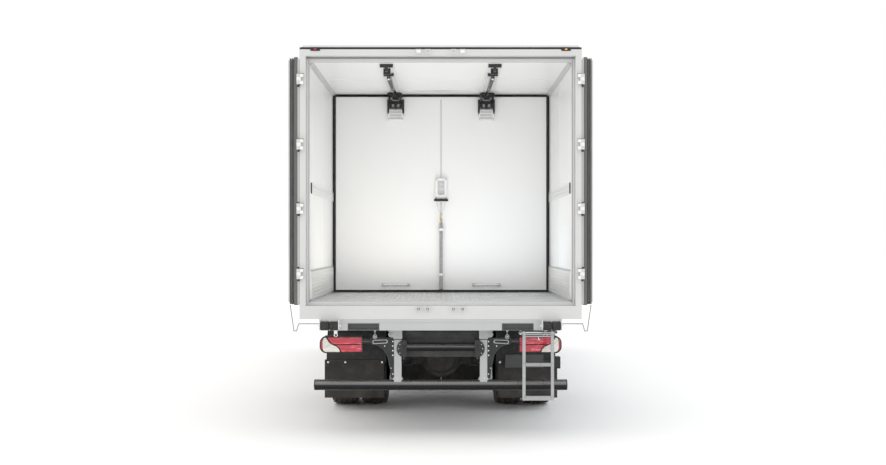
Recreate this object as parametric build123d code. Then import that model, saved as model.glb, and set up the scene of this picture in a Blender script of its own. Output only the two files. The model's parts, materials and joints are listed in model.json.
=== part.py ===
from build123d import *
import math
import os

# A two-axle box truck: +X is its right side, +Y forward, +Z up, in millimetres.
# It stands on its tyres with the origin on the ground, midway along its length.

# Overall layout
BODY_LENGTH = 7350.0
CAB_GAP = 80.0               # box to cab
CAB_LENGTH = 1575.0
BUMPER_REACH = 75.0          # the bumper stands this far ahead of the cab
BUFFER_REACH = 110.0         # dock rollers stand this far behind the portal
REAR_OVERHANG = 2350.0       # rear axle to the face of the rear portal
FRONT_OVERHANG = 1380.0      # front axle to the bumper's face
LENGTH = BUFFER_REACH + BODY_LENGTH + CAB_GAP + CAB_LENGTH + BUMPER_REACH
REAR_Y = -LENGTH / 2 + BUFFER_REACH
BUMPER_Y = LENGTH / 2
REAR_AXLE_Y = REAR_Y + REAR_OVERHANG
FRONT_AXLE_Y = BUMPER_Y - FRONT_OVERHANG
FRONT_WALL_Y = REAR_Y + BODY_LENGTH
CAB_FRONT_Y = BUMPER_Y - BUMPER_REACH
CAB_BACK_Y = CAB_FRONT_Y - CAB_LENGTH
SEAT_GAP = 0.3               # clearance between pieces that seat on each other

# Wheels and tyres
TYRE_R = 522.0
TYRE_WIDTH = 298.0
RIM_R = 286.0
RIM_WIDTH = 210.0
RIM_WALL = 22.0
DUAL_SPACING = 330.0
AXLE_Z = TYRE_R
FRONT_WHEEL_X = 1020.0
REAR_PAIR_X = 916.0
HAND_HOLES = 8

# Box body
BODY_WIDTH = 2600.0
BODY_BOTTOM_Z = 1123.0
FLOOR_THICKNESS = 152.0
WALL = 80.0
LOAD_HEIGHT = 2230.0
ROOF_THICKNESS = 120.0
HALF_BODY = BODY_WIDTH / 2
HALF_LOAD = HALF_BODY - WALL
FLOOR_Z = BODY_BOTTOM_Z + FLOOR_THICKNESS
CEILING_Z = FLOOR_Z + LOAD_HEIGHT
ROOF_Z = CEILING_Z + ROOF_THICKNESS

# Rear portal
POST_FACE = 56.0
REBATE_DEPTH = 90.0
STOP_DEPTH = 40.0
SILL_FACE = 122.0
HEADER_FACE = 95.0
HEADER_BOTTOM_Z = 3549.0
PORTAL_TOP_Z = HEADER_BOTTOM_Z + HEADER_FACE
OPENING_X = HALF_BODY - POST_FACE
SILL_Z = BODY_BOTTOM_Z + SILL_FACE
PORTAL_FRONT_Y = REAR_Y + REBATE_DEPTH + STOP_DEPTH

# Rear doors, drawn closed and then swung open
DOOR_SEAM = 6.0
DOOR_LEAF = 30.0
DOOR_CORE = 56.0
CORE_INSET = 25.0
HINGE_X = HALF_BODY + 3.0
HINGE_BEHIND = 22.0
HINGE_R = 21.0
HINGE_PIN_R = 9.0
HINGE_HEIGHT = 95.0
HINGE_Z = (1540.0, 2140.0, 2730.0, 3330.0)
HINGE_Y = REAR_Y - HINGE_BEHIND
PIN_PLAY = 0.5
REAR_DOOR_SWING = 270.0

# Chassis
RAIL_TOP_Z = 1010.0
RAIL_HEIGHT = 270.0
RAIL_FLANGE = 70.0
RAIL_WEB = 8.0
FRAME_HALF = 425.0
RAIL_REAR_Y = REAR_Y + 340.0
RAIL_FRONT_Y = BUMPER_Y - 215.0
RAIL_BOTTOM_Z = RAIL_TOP_Z - RAIL_HEIGHT

# Cab
CAB_HALF = 1220.0
CAB_WALL = 60.0
CAB_BOTTOM_Z = 1180.0
CAB_SKIRT_Z = 1030.0         # its front edge clears the bumper as the cab tilts
CAB_ROOF_Z = 2750.0
CAB_FLOOR = 40.0
SKIRT_Y = FRONT_AXLE_Y + 665.0
BELT_Z = 1720.0
TUNNEL_HALF = 400.0
TUNNEL_Z = 1400.0
PIVOT_Y = BUMPER_Y - 155.0
PIVOT_Z = 960.0
CAB_DOOR_GAP = 7.0
GLASS = 6.0

# Steering
KINGPIN_X = 820.0
STEER_ARM = 200.0
TRACK_ROD_Z = 385.0
SPINDLE_R = 38.0
SPINDLE_REACH = 96.0         # from the wheel's middle outward
HUB_PLAY = 0.4

# Front wheel guards
GUARD_R = TYRE_R + 118.0
GUARD_UNDERSIDE_Z = AXLE_Z + math.sqrt(GUARD_R ** 2 - 40 ** 2) - SEAT_GAP

# Tow pin, axles, springs and what hangs on the rails
TOW_X = 200.0
TOW_Z = 805.0
TOW_R = 20.0
SPRING_X = 400.0
BEAM_TOP_Z = 490.0
DRUM_R = 205.0
PINION_Z = AXLE_Z + 30.0
PINION_Y = REAR_AXLE_Y + 380.0
ENGINE_TOP_Z = 1330.0
DRIVE_Z = 720.0
TANK_Y = (700.0, 1850.0)
GUARD_X = 1235.0
GUARD_Y = (REAR_AXLE_Y + 700.0, FRONT_AXLE_Y - 700.0)

# Front end
BUMPER_TOP_Z = 925.0
BUMPER_BOTTOM_Z = 330.0
AIR_SLOT_HALF = 560.0
AIR_SLOT_Z = ((430.0, 560.0), (620.0, 750.0))
TOW_DOOR = 120.0             # square way in to the tow pin, open to the slot below it
LAMP_X = (760.0, 1110.0)
LAMP_Z = (660.0, 840.0)
FLAP_Z = (146.0, 560.0)

# Rear underbody
BAR_R = 50.8
BAR_Z = 479.5
BAR_HALF = 1196.0
UNDERRUN_Y = REAR_Y + 300.0
POST_X = 406.0
POST_TOP = 83.0
POST_LOW = 69.0
TAIL_LAMP_X = (754.0, 1162.0)
TAIL_LAMP_Z = (776.0, 936.0)
TAIL_LAMP_Y = REAR_Y + 400.0
SUBFRAME_X = (FRAME_HALF - RAIL_FLANGE, FRAME_HALF)
BEAM_X = 1120.0
BEAM_Z = (1019.0, 1116.0)
BEAM_DEPTH = 80.0
ROLLER_X = 1017.0
ROLLER_R = 41.5
ROLLER_LENGTH = 77.0
ROLLER_Z = 1066.5
ROLLER_Y = REAR_Y - BUFFER_REACH + ROLLER_R
LADDER_X = 896.0
LADDER_WIDTH = 290.0
LADDER_STILE = 33.0
LADDER_DEPTH = 24.0
LADDER_PIVOT_Z = 1001.0
LADDER_BOTTOM_Z = 379.0
LADDER_Y = REAR_Y - 22.0
LADDER_PIN_R = 8.0

# Inside the box, and the lock rods
GUTTER_DEPTH = 3.0
GUTTER_WIDTH = 12.0
KICK_HEIGHT = 290.0
KICK_THICKNESS = 10.0
LASHING_Z = 2341.0
LASHING_HEIGHT = 99.0
TRACK_X = 510.0
TRACK_WIDTH = 142.0
TRACK_DEPTH = 20.0
INSIDE_Y = (PORTAL_FRONT_Y + 60.0, FRONT_WALL_Y - WALL)
BULKHEAD_Y = REAR_Y + 2150.0
BULKHEAD_THICKNESS = 60.0
BULKHEAD_TOP_Z = CEILING_Z - TRACK_DEPTH - SEAT_GAP
LOCK_X = 161.0
LOCK_ROD_R = 8.0
LOCK_Y = REAR_Y - 10.0

# Refrigeration unit
FRIDGE_DEPTH = 430.0
FRIDGE_HALF = 960.0
FRIDGE_Z = (3050.0, 3600.0)
FRIDGE_CORNER = 110.0

# Cab openings and fittings
DOOR_FRONT_Y = CAB_FRONT_Y - 175.0
DOOR_BACK_Y = DOOR_FRONT_Y - 1010.0
CAB_DOOR_TOP_Z = CAB_ROOF_Z - 170.0
CAB_DOOR_LOW_Z = CAB_SKIRT_Z + 45.0
SCREEN_HALF = 1040.0
SCREEN_Z = (BELT_Z + 30.0, CAB_ROOF_Z - 235.0)
GRILLE_HALF = 700.0
GRILLE_Z = (1090.0, 1560.0)
GRILLE_BARS = 6
SEAT_X = CAB_HALF - 520.0
COLUMN_END = (-SEAT_X, CAB_FRONT_Y - 470.0, 1760.0)
COLUMN_START = (-SEAT_X, CAB_FRONT_Y - 282.0, 1520.0)

# Wheel discs and hubs
DISC_X = 56.0
DISC_THICKNESS = 16.0
HUB_R = 100.0
FRONT_HUB_END = 118.0
CLAMP_R = 150.0
REAR_HUB_END = 130.0
REAR_STUB_R = 60.0


def block(x, y, z):
    """A box between a pair of limits on each axis."""
    size = Box(abs(x[1] - x[0]), abs(y[1] - y[0]), abs(z[1] - z[0]))
    return Pos(sum(x) / 2, sum(y) / 2, sum(z) / 2) * size


def outline(points, radii=None):
    """A closed polygon whose corners are rounded where radii gives a radius."""
    shape = Polygon(*points, align=None)
    for point, radius in zip(points, radii or ()):
        if radius:
            corner = shape.vertices().sort_by_distance(Vector(*point))[0]
            shape = fillet(corner, radius)
    return shape


def across(shape, x):
    """A side outline, drawn as (y, z), carried across between two x."""
    return extrude(Plane.YZ.offset(min(x)) * shape, max(x) - min(x), dir=(1, 0, 0))


def along(shape, y):
    """An end outline, drawn as (x, z), carried along between two y."""
    return extrude(Plane.XZ.offset(-min(y)) * shape, max(y) - min(y), dir=(0, 1, 0))


def upright(shape, z):
    """A plan outline, drawn as (x, y), carried up between two z."""
    return extrude(Plane.XY.offset(min(z)) * shape, max(z) - min(z), dir=(0, 0, 1))


def rod(start, end, radius):
    """A round bar between two points."""
    way = Vector(*end) - Vector(*start)
    ground = Plane(origin=start, z_dir=way)
    return ground * Cylinder(radius, way.length, align=(Align.CENTER, Align.CENTER, Align.MIN))


def other_side(shape):
    return mirror(shape, about=Plane.YZ)


def pair(shape):
    """A piece and its mirror image on the other side of the truck."""
    return [shape, other_side(shape)]


def bent_wire(points, radius):
    """A round wire along straight runs, with its bends mitred."""
    path = Polyline(*points)
    ground = Plane(origin=path @ 0, z_dir=path % 0)
    return sweep(ground * Circle(radius), path=path, transition=Transition.RIGHT)


def ring(profile, x, y, z):
    """A profile of (offset along X, radius) turned about an axle across the truck."""
    face = Polygon(*profile, align=None)
    return Pos(x, y, z) * revolve(face, Axis.X, 360)


def save(name, *shapes):
    solids = []
    for shape in shapes:
        for piece in (shape if isinstance(shape, list) else [shape]):
            solids.extend(piece.solids())
    export_step(Compound(solids), f"parts/{name}.step")


# Chassis


def chassis_frame():
    """Two channel rails, riveted cross members, end plate and cab mounts, as one welded ladder."""
    flange_x = FRAME_HALF - RAIL_FLANGE
    channel = [(FRAME_HALF, RAIL_BOTTOM_Z), (FRAME_HALF, RAIL_TOP_Z), (flange_x, RAIL_TOP_Z),
               (flange_x, RAIL_TOP_Z - RAIL_WEB), (FRAME_HALF - RAIL_WEB, RAIL_TOP_Z - RAIL_WEB),
               (FRAME_HALF - RAIL_WEB, RAIL_BOTTOM_Z + RAIL_WEB), (flange_x, RAIL_BOTTOM_Z + RAIL_WEB),
               (flange_x, RAIL_BOTTOM_Z)]
    rail = along(outline(channel), (RAIL_REAR_Y, RAIL_FRONT_Y))
    frame = rail + other_side(rail)
    inner = FRAME_HALF - RAIL_WEB
    # Cross members: y, half length, bottom, top
    members = [(RAIL_REAR_Y + 8, 8, RAIL_BOTTOM_Z, RAIL_TOP_Z - 20),
               (REAR_AXLE_Y - 700, 60, 760, 960),
               (REAR_AXLE_Y + 700, 60, 760, 960),
               (REAR_AXLE_Y + 2300, 50, 780, 930),
               (FRONT_AXLE_Y - 900, 50, 930, 1000),
               (RAIL_FRONT_Y - 40, 40, RAIL_BOTTOM_Z + 10, 860)]
    for y, half, low, high in members:
        frame += block((-inner, inner), (y - half, y + half), (low, high))
    frame -= rod((TOW_X, RAIL_FRONT_Y - 90, TOW_Z), (TOW_X, RAIL_FRONT_Y + 10, TOW_Z), TOW_R)
    for side in (-1, 1):
        post = (side * (FRAME_HALF - RAIL_FLANGE), side * FRAME_HALF)
        frame += block(post, (CAB_BACK_Y + 15, CAB_BACK_Y + 95), (RAIL_TOP_Z, CAB_BOTTOM_Z - SEAT_GAP))
        cheek = (side * 370, side * 400)
        frame += block(cheek, (RAIL_FRONT_Y - 60, PIVOT_Y + 16), (PIVOT_Z - 60, PIVOT_Z + 30))
        frame += rod((side * 370, PIVOT_Y, PIVOT_Z), (side * 470, PIVOT_Y, PIVOT_Z), 20)
        guard = (side * FRAME_HALF, side * 830)
        for y in (FRONT_AXLE_Y - 30, FRONT_AXLE_Y + 30):
            frame += block((side * 395, side * FRAME_HALF), (y - 10, y + 10), (RAIL_TOP_Z, 1130))
            frame += block(guard, (y - 10, y + 10), (1100, 1130))
            frame += block((side * 820, side * 870), (y - 10, y + 10), (1100, GUARD_UNDERSIDE_Z))
    return frame


def front_axle_beam():
    """A dropped forged beam with a bored boss for each kingpin."""
    half = [(0, 390), (540, 390), (700, 470), (KINGPIN_X, 470), (KINGPIN_X, 570), (680, 570),
            (510, BEAM_TOP_Z), (0, BEAM_TOP_Z)]
    arm = along(outline(half), (FRONT_AXLE_Y - 50, FRONT_AXLE_Y + 50))
    arm += Pos(KINGPIN_X, FRONT_AXLE_Y, 520) * Cylinder(46, 150)
    arm -= Pos(KINGPIN_X, FRONT_AXLE_Y, 520) * Cylinder(21, 200)
    for side in (-1, 1):
        y = FRONT_AXLE_Y + side * 50
        arm -= block((0, 500), (y - 28, y + 28), (412, 468))
    return arm + other_side(arm)


def leaf_stack(x, centre_y, half_span, rise, thick, base_z, width):
    """A parabolic spring: a bowed stack of leaves with an eye at each end."""
    radius = (half_span ** 2 + rise ** 2) / (2 * rise)
    bow = Pos(centre_y, base_z + radius) * (Circle(radius) - Circle(radius - thick))
    bow &= Pos(centre_y, base_z + rise) * Rectangle(2 * half_span, 4 * rise)
    stack = across(bow, (x - width / 2, x + width / 2))
    eye_z = base_z + rise + thick / 2
    for side in (-1, 1):
        y = centre_y + side * half_span
        stack += rod((x - width / 2, y, eye_z), (x + width / 2, y, eye_z), thick * 0.75)
        stack += block((x - width / 2 + 10, x + width / 2 - 10), (y - 24, y + 24), (eye_z, RAIL_BOTTOM_Z))
    return stack


def suspension():
    """Front leaf springs, and at the rear trailing beams with an air bag at each end."""
    pieces = pair(leaf_stack(SPRING_X, FRONT_AXLE_Y, 820, 105, 55, BEAM_TOP_Z, 80))
    x = 380.0
    beam_z = AXLE_Z + 75
    beam = block((x - 50, x + 50), (REAR_AXLE_Y - 560, REAR_AXLE_Y + 820), (beam_z, beam_z + 55))
    beam += block((x - 40, x + 40), (REAR_AXLE_Y + 740, REAR_AXLE_Y + 820), (beam_z, RAIL_BOTTOM_Z))
    for y in (REAR_AXLE_Y - 430, REAR_AXLE_Y + 430):
        beam += Pos(x, y, (beam_z + 55 + RAIL_BOTTOM_Z) / 2) * Cylinder(112, RAIL_BOTTOM_Z - beam_z - 55)
    return pieces + pair(beam)


def rear_axle():
    """A banjo housing with a round final drive, brake drums and wheel stubs."""
    tube_end = REAR_PAIR_X - DUAL_SPACING / 2 - 139
    housing = block((-tube_end, tube_end), (REAR_AXLE_Y - 65, REAR_AXLE_Y + 65), (AXLE_Z - 75, AXLE_Z + 75))
    drive = [(-90, 0), (-90, 175), (-50, 225), (50, 225), (90, 175), (90, 0)]
    housing += Pos(0, REAR_AXLE_Y, AXLE_Z) * Rot(0, 0, 90) * revolve(Polygon(*drive, align=None), Axis.X, 360)
    housing += rod((0, REAR_AXLE_Y, PINION_Z), (0, PINION_Y, PINION_Z), 90)
    for side in (-1, 1):
        x = side * tube_end
        housing += rod((x, REAR_AXLE_Y, AXLE_Z), (side * (REAR_PAIR_X - 150), REAR_AXLE_Y, AXLE_Z), DRUM_R)
        stub_end = REAR_PAIR_X + REAR_HUB_END - 2 * HUB_PLAY
        housing += rod((x, REAR_AXLE_Y, AXLE_Z), (side * stub_end, REAR_AXLE_Y, AXLE_Z), REAR_STUB_R)
    return housing


def engine_gearbox():
    """The engine as one plain block, with radiator, gearbox and propeller shaft."""
    engine = block((-330, 330), (FRONT_AXLE_Y - 20, FRONT_AXLE_Y + 900), (DRIVE_Z - 20, ENGINE_TOP_Z))
    engine += block((-FRAME_HALF + RAIL_WEB + SEAT_GAP, FRAME_HALF - RAIL_WEB - SEAT_GAP),
                    (FRONT_AXLE_Y + 380, FRONT_AXLE_Y + 440), (880, 950))
    gearbox = [(0, 260), (200, 230), (760, 150), (800, 60), (800, 0), (0, 0)]
    turned = revolve(Polygon(*gearbox, align=None), Axis.X, 360)
    engine += Pos(0, FRONT_AXLE_Y - 10, DRIVE_Z + 150) * Rot(0, 0, -90) * turned
    radiator = block((-350, 350), (FRONT_AXLE_Y + 950, FRONT_AXLE_Y + 1020), (870, 1300))
    radiator += block((-350, 350), (FRONT_AXLE_Y + 890, FRONT_AXLE_Y + 960), (900, 940))
    shaft = rod((0, FRONT_AXLE_Y - 809, DRIVE_Z + 150), (0, PINION_Y + 4.5, PINION_Z), 50)
    return engine + radiator + shaft


def tanks():
    """Fuel tank with rounded edges on the right, and a pair of air tanks on the left."""
    fuel_outline = outline([(480, 430), (1130, 430), (1130, 1000), (480, 1000)], (90, 90, 90, 90))
    fuel = along(fuel_outline, TANK_Y)
    for y in (TANK_Y[0] + 250, TANK_Y[1] - 250):
        fuel += block((FRAME_HALF, 520), (y - 30, y + 30), (760, 960))
    pieces = [fuel]
    for y in (-900.0, -300.0):
        tank = rod((-620, y, 830), (-620, y + 540, 830), 120)
        tank += block((-FRAME_HALF, -560), (y + 240, y + 300), (860, 920))
        pieces.append(tank)
    return pieces


def side_boxes():
    """Battery box on the left and silencer box on the right, hung from the rails."""
    # Boxes: side, inner x, outer x, y from, y to, bottom, top
    boxes = [(-1, 480, 1100, 1750, 2430, 520, 980),
             (1, 480, 1130, 1950, 2430, 480, 980),
             (-1, 480, 900, 900, 1600, 560, 960)]
    pieces = []
    for side, near, far, start, end, low, high in boxes:
        corners = [(side * near, low), (side * far, low), (side * far, high), (side * near, high)]
        body = along(outline(corners, (40, 40, 40, 40)), (start, end))
        body += block((side * FRAME_HALF, side * (near + 20)), (start + 100, end - 100), (780, 900))
        pieces.append(body)
    return pieces


def side_guards():
    """Two aluminium rails a side, on posts and arms from the chassis."""
    pieces = []
    for side in (-1, 1):
        guard = block((side * (GUARD_X - 25), side * GUARD_X), GUARD_Y, (460, 580))
        guard += block((side * (GUARD_X - 25), side * GUARD_X), GUARD_Y, (780, 900))
        for y in (-1250.0, 150.0, GUARD_Y[1] - 40):
            guard += block((side * (GUARD_X - 65), side * (GUARD_X - 24)), (y - 25, y + 25), (460, 990))
            guard += block((side * FRAME_HALF, side * (GUARD_X - 25)), (y - 25, y + 25), (950, 990))
        pieces.append(guard)
    return pieces


# Front end


def bumper_plan(inset):
    half = CAB_HALF + 20 - inset
    front = BUMPER_Y - inset
    back = BUMPER_Y - 330
    points = [(-half, back), (half, back), (half, front), (-half, front)]
    return outline(points, (0, 0, 190 - inset, 190 - inset))


def front_bumper():
    """A hollow wrap-round bumper with lamp pockets, air slots, the tow pin's way in and two brackets."""
    shell = upright(bumper_plan(0), (BUMPER_BOTTOM_Z, BUMPER_TOP_Z))
    shell -= upright(bumper_plan(30), (BUMPER_BOTTOM_Z - 10, BUMPER_TOP_Z - 30))
    shell -= block((-CAB_HALF + 60, CAB_HALF - 60), (BUMPER_Y - 400, BUMPER_Y - 120), (880, 1000))
    for span in AIR_SLOT_Z:
        shell -= block((-AIR_SLOT_HALF, AIR_SLOT_HALF), (BUMPER_Y - 100, BUMPER_Y + 10), span)
    shell -= block((TOW_X - TOW_DOOR / 2, TOW_X + TOW_DOOR / 2), (BUMPER_Y - 100, BUMPER_Y + 10),
                   (AIR_SLOT_Z[1][0] + 10, TOW_Z + TOW_DOOR / 2))
    for side in (-1, 1):
        lamp = (side * LAMP_X[0], side * LAMP_X[1])
        shell -= block(lamp, (BUMPER_Y - 120, BUMPER_Y + 10), LAMP_Z)
        shell += block((side * 290, side * 350), (RAIL_FRONT_Y, BUMPER_Y - 20), (790, 900))
    return shell


def headlamps():
    """Lamp units that fill the bumper's pockets, with the bumper's own curve."""
    pieces = []
    for side in (-1, 1):
        body = block((side * (LAMP_X[0] + SEAT_GAP), side * (LAMP_X[1] - SEAT_GAP)),
                     (BUMPER_Y - 110, BUMPER_Y),
                     (LAMP_Z[0] + SEAT_GAP, LAMP_Z[1] - SEAT_GAP))
        pieces.append(body & upright(bumper_plan(8), (LAMP_Z[0], LAMP_Z[1])))
    return pieces


def front_mudguards():
    """An arched guard over each front wheel and, ahead of it, the steps to the cab door."""
    arch = Circle(GUARD_R + 6) - Circle(GUARD_R)
    arch &= Pos(0, GUARD_R / 2 + 110) * Rectangle(3 * GUARD_R, GUARD_R)
    guard = across(Pos(FRONT_AXLE_Y, AXLE_Z) * arch, (KINGPIN_X + 10, CAB_HALF - 15))
    pieces = pair(guard)
    step_y = (SKIRT_Y - 10, BUMPER_Y - 350)
    module = block((900, CAB_HALF), step_y, (380, 995))
    for low, high in ((440.0, 640.0), (700.0, 960.0)):
        module -= block((960, CAB_HALF + 10), (step_y[0] + 40, step_y[1] - 40), (low, high))
    module += block((FRAME_HALF, 910), (step_y[0] + 200, step_y[0] + 260), (800, 860))
    return pieces + pair(module)


def rear_mudguards():
    """Guards over the twin tyres: two quarter arches and a flat crown under the floor."""
    inner = TYRE_R + 78
    crown = BODY_BOTTOM_Z - 35 - AXLE_Z
    solid = (Circle(inner + 6) & Rectangle(4 * inner, 2 * crown))
    hollow = (Circle(inner) & Rectangle(4 * inner, 2 * (crown - 6)))
    arch = (solid - hollow) & Pos(0, inner / 2 + 10) * Rectangle(4 * inner, inner)
    pieces = []
    for side in (-1, 1):
        guard = across(Pos(REAR_AXLE_Y, AXLE_Z) * arch, (side * 600, side * 1245))
        for y in (REAR_AXLE_Y - 180, REAR_AXLE_Y + 180):
            z = AXLE_Z + crown
            guard += block((side * 640, side * 700), (y - 20, y + 20), (z - 3, BODY_BOTTOM_Z))
        pieces.append(guard)
    return pieces


def mud_flaps():
    """A hanging rubber flap behind each pair of rear tyres."""
    y = REAR_AXLE_Y - TYRE_R - 78 - 6 - SEAT_GAP
    return pair(block((621, 1264), (y - 10, y), FLAP_Z))


# Rear underbody


def underrun_bar():
    """The tube across the back that keeps cars out."""
    return rod((-BAR_HALF, UNDERRUN_Y, BAR_Z), (BAR_HALF, UNDERRUN_Y, BAR_Z), BAR_R)


def underrun_posts():
    """Stepped posts from the subframe down to the bar, each with a saddle and small gussets."""
    pieces = []
    back = UNDERRUN_Y - 40
    front = UNDERRUN_Y + 40
    for side in (-1, 1):
        x = side * POST_X
        post = block((x - POST_TOP / 2, x + POST_TOP / 2), (back, front), (915, RAIL_TOP_Z))
        post += block((x - POST_LOW / 2, x + POST_LOW / 2), (back, front), (BAR_Z, 916))
        gusset = [(side * (POST_X + 30), RAIL_TOP_Z), (side * (POST_X + 100), RAIL_TOP_Z - 20),
                  (side * (POST_X + 30), RAIL_TOP_Z - 90)]
        post += along(outline(gusset), (UNDERRUN_Y + 20, UNDERRUN_Y + 28))
        post -= rod((x - 60, UNDERRUN_Y, BAR_Z), (x + 60, UNDERRUN_Y, BAR_Z), BAR_R + SEAT_GAP)
        post &= block((x - 120, x + 120), (back - 1, front + 1), (BAR_Z + 5, RAIL_TOP_Z))
        pieces.append(post)
    return pieces


def tail_lamps():
    """Multi-chamber rear lamps with a rounded outer end."""
    points = [(TAIL_LAMP_X[0], TAIL_LAMP_Z[0]), (TAIL_LAMP_X[1], TAIL_LAMP_Z[0]),
              (TAIL_LAMP_X[1], TAIL_LAMP_Z[1]), (TAIL_LAMP_X[0], TAIL_LAMP_Z[1])]
    lamp = along(outline(points, (18, 60, 60, 18)), (TAIL_LAMP_Y - 60, TAIL_LAMP_Y + 30))
    return pair(lamp)


def lamp_arms():
    """Pressed arms that carry the tail lamps, with a curved gusset down each post."""
    near = POST_X + POST_LOW / 2
    far = TAIL_LAMP_X[0] + 60
    points = [(near, 905), (near + 12, 920), (near + 12, 958), (near + 130, 958), (near + 200, 930),
              (far, 905), (far, 830), (near + 200, 830), (near + 80, 740), (near + 40, 560), (near, 540)]
    arm = along(outline(points, (0, 0, 0, 30, 30, 0, 0, 60, 80, 0, 0)), (TAIL_LAMP_Y - 100, TAIL_LAMP_Y - 94))
    arm -= along(outline([(near + 120, 868), (near + 240, 860), (near + 240, 885), (near + 120, 893)]),
                 (TAIL_LAMP_Y - 110, TAIL_LAMP_Y - 80))
    arm += block((TAIL_LAMP_X[0] + 10, TAIL_LAMP_X[0] + 60), (TAIL_LAMP_Y - 99, TAIL_LAMP_Y - 60), (835, 900))
    arm += block((near, near + 25), (UNDERRUN_Y - 30, TAIL_LAMP_Y - 94), (560, 900))
    return pair(arm)


def rear_cross_tube():
    """A round tube with bolted end flanges between the posts, for the last suspension mount."""
    end = POST_X - POST_LOW / 2
    tube = rod((-end, UNDERRUN_Y, 835), (end, UNDERRUN_Y, 835), 34)
    back, front = UNDERRUN_Y - 39, UNDERRUN_Y + 39
    flange = outline([(back, 690), (front, 690), (front, 875), (back, 875)], (38, 38, 38, 38))
    for side in (-1, 1):
        tube += across(flange, (side * (end - 14), side * end))
    return tube


def box_subframe():
    """Long sills on the chassis rails, joined to the rear cross beam with its dark recesses."""
    frame = block(SUBFRAME_X, (REAR_Y + BEAM_DEPTH - 1, FRONT_WALL_Y), (RAIL_TOP_Z, BODY_BOTTOM_Z))
    frame += other_side(frame)
    low, high = BEAM_Z
    ends = [(-BEAM_X, high + 7), (-BEAM_X, high - 40), (-BEAM_X + 45, low), (BEAM_X - 45, low),
            (BEAM_X, high - 40), (BEAM_X, high + 7)]
    beam = along(outline(ends), (REAR_Y, REAR_Y + BEAM_DEPTH))
    for x in (-710.0, 710.0):
        beam -= block((x - 138, x + 138), (REAR_Y - 5, REAR_Y + 50), (low + 5, low + 62))
    return frame + beam


def roller_brackets():
    """White cheek plates that hold the dock rollers on their pins, and the ladder's pivot bar."""
    pieces = []
    for side in (-1, 1):
        centre = side * ROLLER_X
        reach = ROLLER_LENGTH + 10
        bracket = block((centre - reach - 8, centre + reach + 8), (REAR_Y - 8, REAR_Y), (1020, 1122))
        for x in (centre - reach, centre + reach):
            cheek = outline([(REAR_Y - 1, 1020), (REAR_Y - 1, 1122), (ROLLER_Y, 1122),
                             (ROLLER_Y - 34, 1090), (ROLLER_Y - 34, 1043), (ROLLER_Y, 1024)])
            bracket += across(cheek, (x - 4, x + 4))
        bracket += rod((centre - reach, ROLLER_Y, ROLLER_Z), (centre + reach, ROLLER_Y, ROLLER_Z), 10)
        pieces.append(bracket)
    return pieces


def buffer_rollers():
    """Two rubber rollers a side, bored for their pin."""
    pieces = []
    for side in (-1, 1):
        for shift in (-ROLLER_LENGTH / 2 - 2, ROLLER_LENGTH / 2 + 2):
            x = side * ROLLER_X + shift
            half = ROLLER_LENGTH / 2
            profile = [(-half, 10 + SEAT_GAP), (-half, ROLLER_R - 5), (-half + 5, ROLLER_R),
                       (half - 5, ROLLER_R), (half, ROLLER_R - 5), (half, 10 + SEAT_GAP)]
            pieces.append(ring(profile, x, ROLLER_Y, ROLLER_Z))
    return pieces


def door_holders():
    """Bent spring wires that keep the open doors against the sides."""
    y = REAR_Y + 70.0
    # How far outside the body each bend is, and its height
    bends = [(17, 1075), (36, 1009), (61, 1009), (94, 1240)]
    route = [(-BEAM_X - SEAT_GAP, y, 1075)] + [(-HALF_BODY - out, y, z) for out, z in bends]
    wire = bent_wire(route, 5)
    return pair(wire)


def ladder():
    """A hinged aluminium ladder: two stiles, two flat rungs and a top bar."""
    half = LADDER_WIDTH / 2
    depth = (LADDER_Y - LADDER_DEPTH / 2, LADDER_Y + LADDER_DEPTH / 2)
    frame = None
    for side in (-1, 1):
        x = (LADDER_X + side * (half - LADDER_STILE), LADDER_X + side * half)
        stile = block(x, depth, (LADDER_BOTTOM_Z, LADDER_PIVOT_Z + 12))
        frame = stile if frame is None else frame + stile
    # Rungs: bottom, top
    for low, high in ((LADDER_BOTTOM_Z, 420.0), (696.0, 734.0), (966.0, 984.0)):
        frame += block((LADDER_X - half, LADDER_X + half), depth, (low, high))
    pin = rod((LADDER_X - half - 40, LADDER_Y, LADDER_PIVOT_Z),
              (LADDER_X + half + 40, LADDER_Y, LADDER_PIVOT_Z), LADDER_PIN_R + SEAT_GAP)
    return frame - pin


def ladder_bracket():
    """Lugs under the rear beam with the ladder's pivot pin."""
    half = LADDER_WIDTH / 2
    bracket = rod((LADDER_X - half - 26, LADDER_Y, LADDER_PIVOT_Z),
                  (LADDER_X + half + 26, LADDER_Y, LADDER_PIVOT_Z), LADDER_PIN_R)
    for side in (-1, 1):
        x = (LADDER_X + side * (half + 8), LADDER_X + side * (half + 26))
        bracket += block(x, (LADDER_Y - 16, REAR_Y + 30), (LADDER_PIVOT_Z - 17, BEAM_Z[0]))
    return bracket


# Box body

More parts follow.
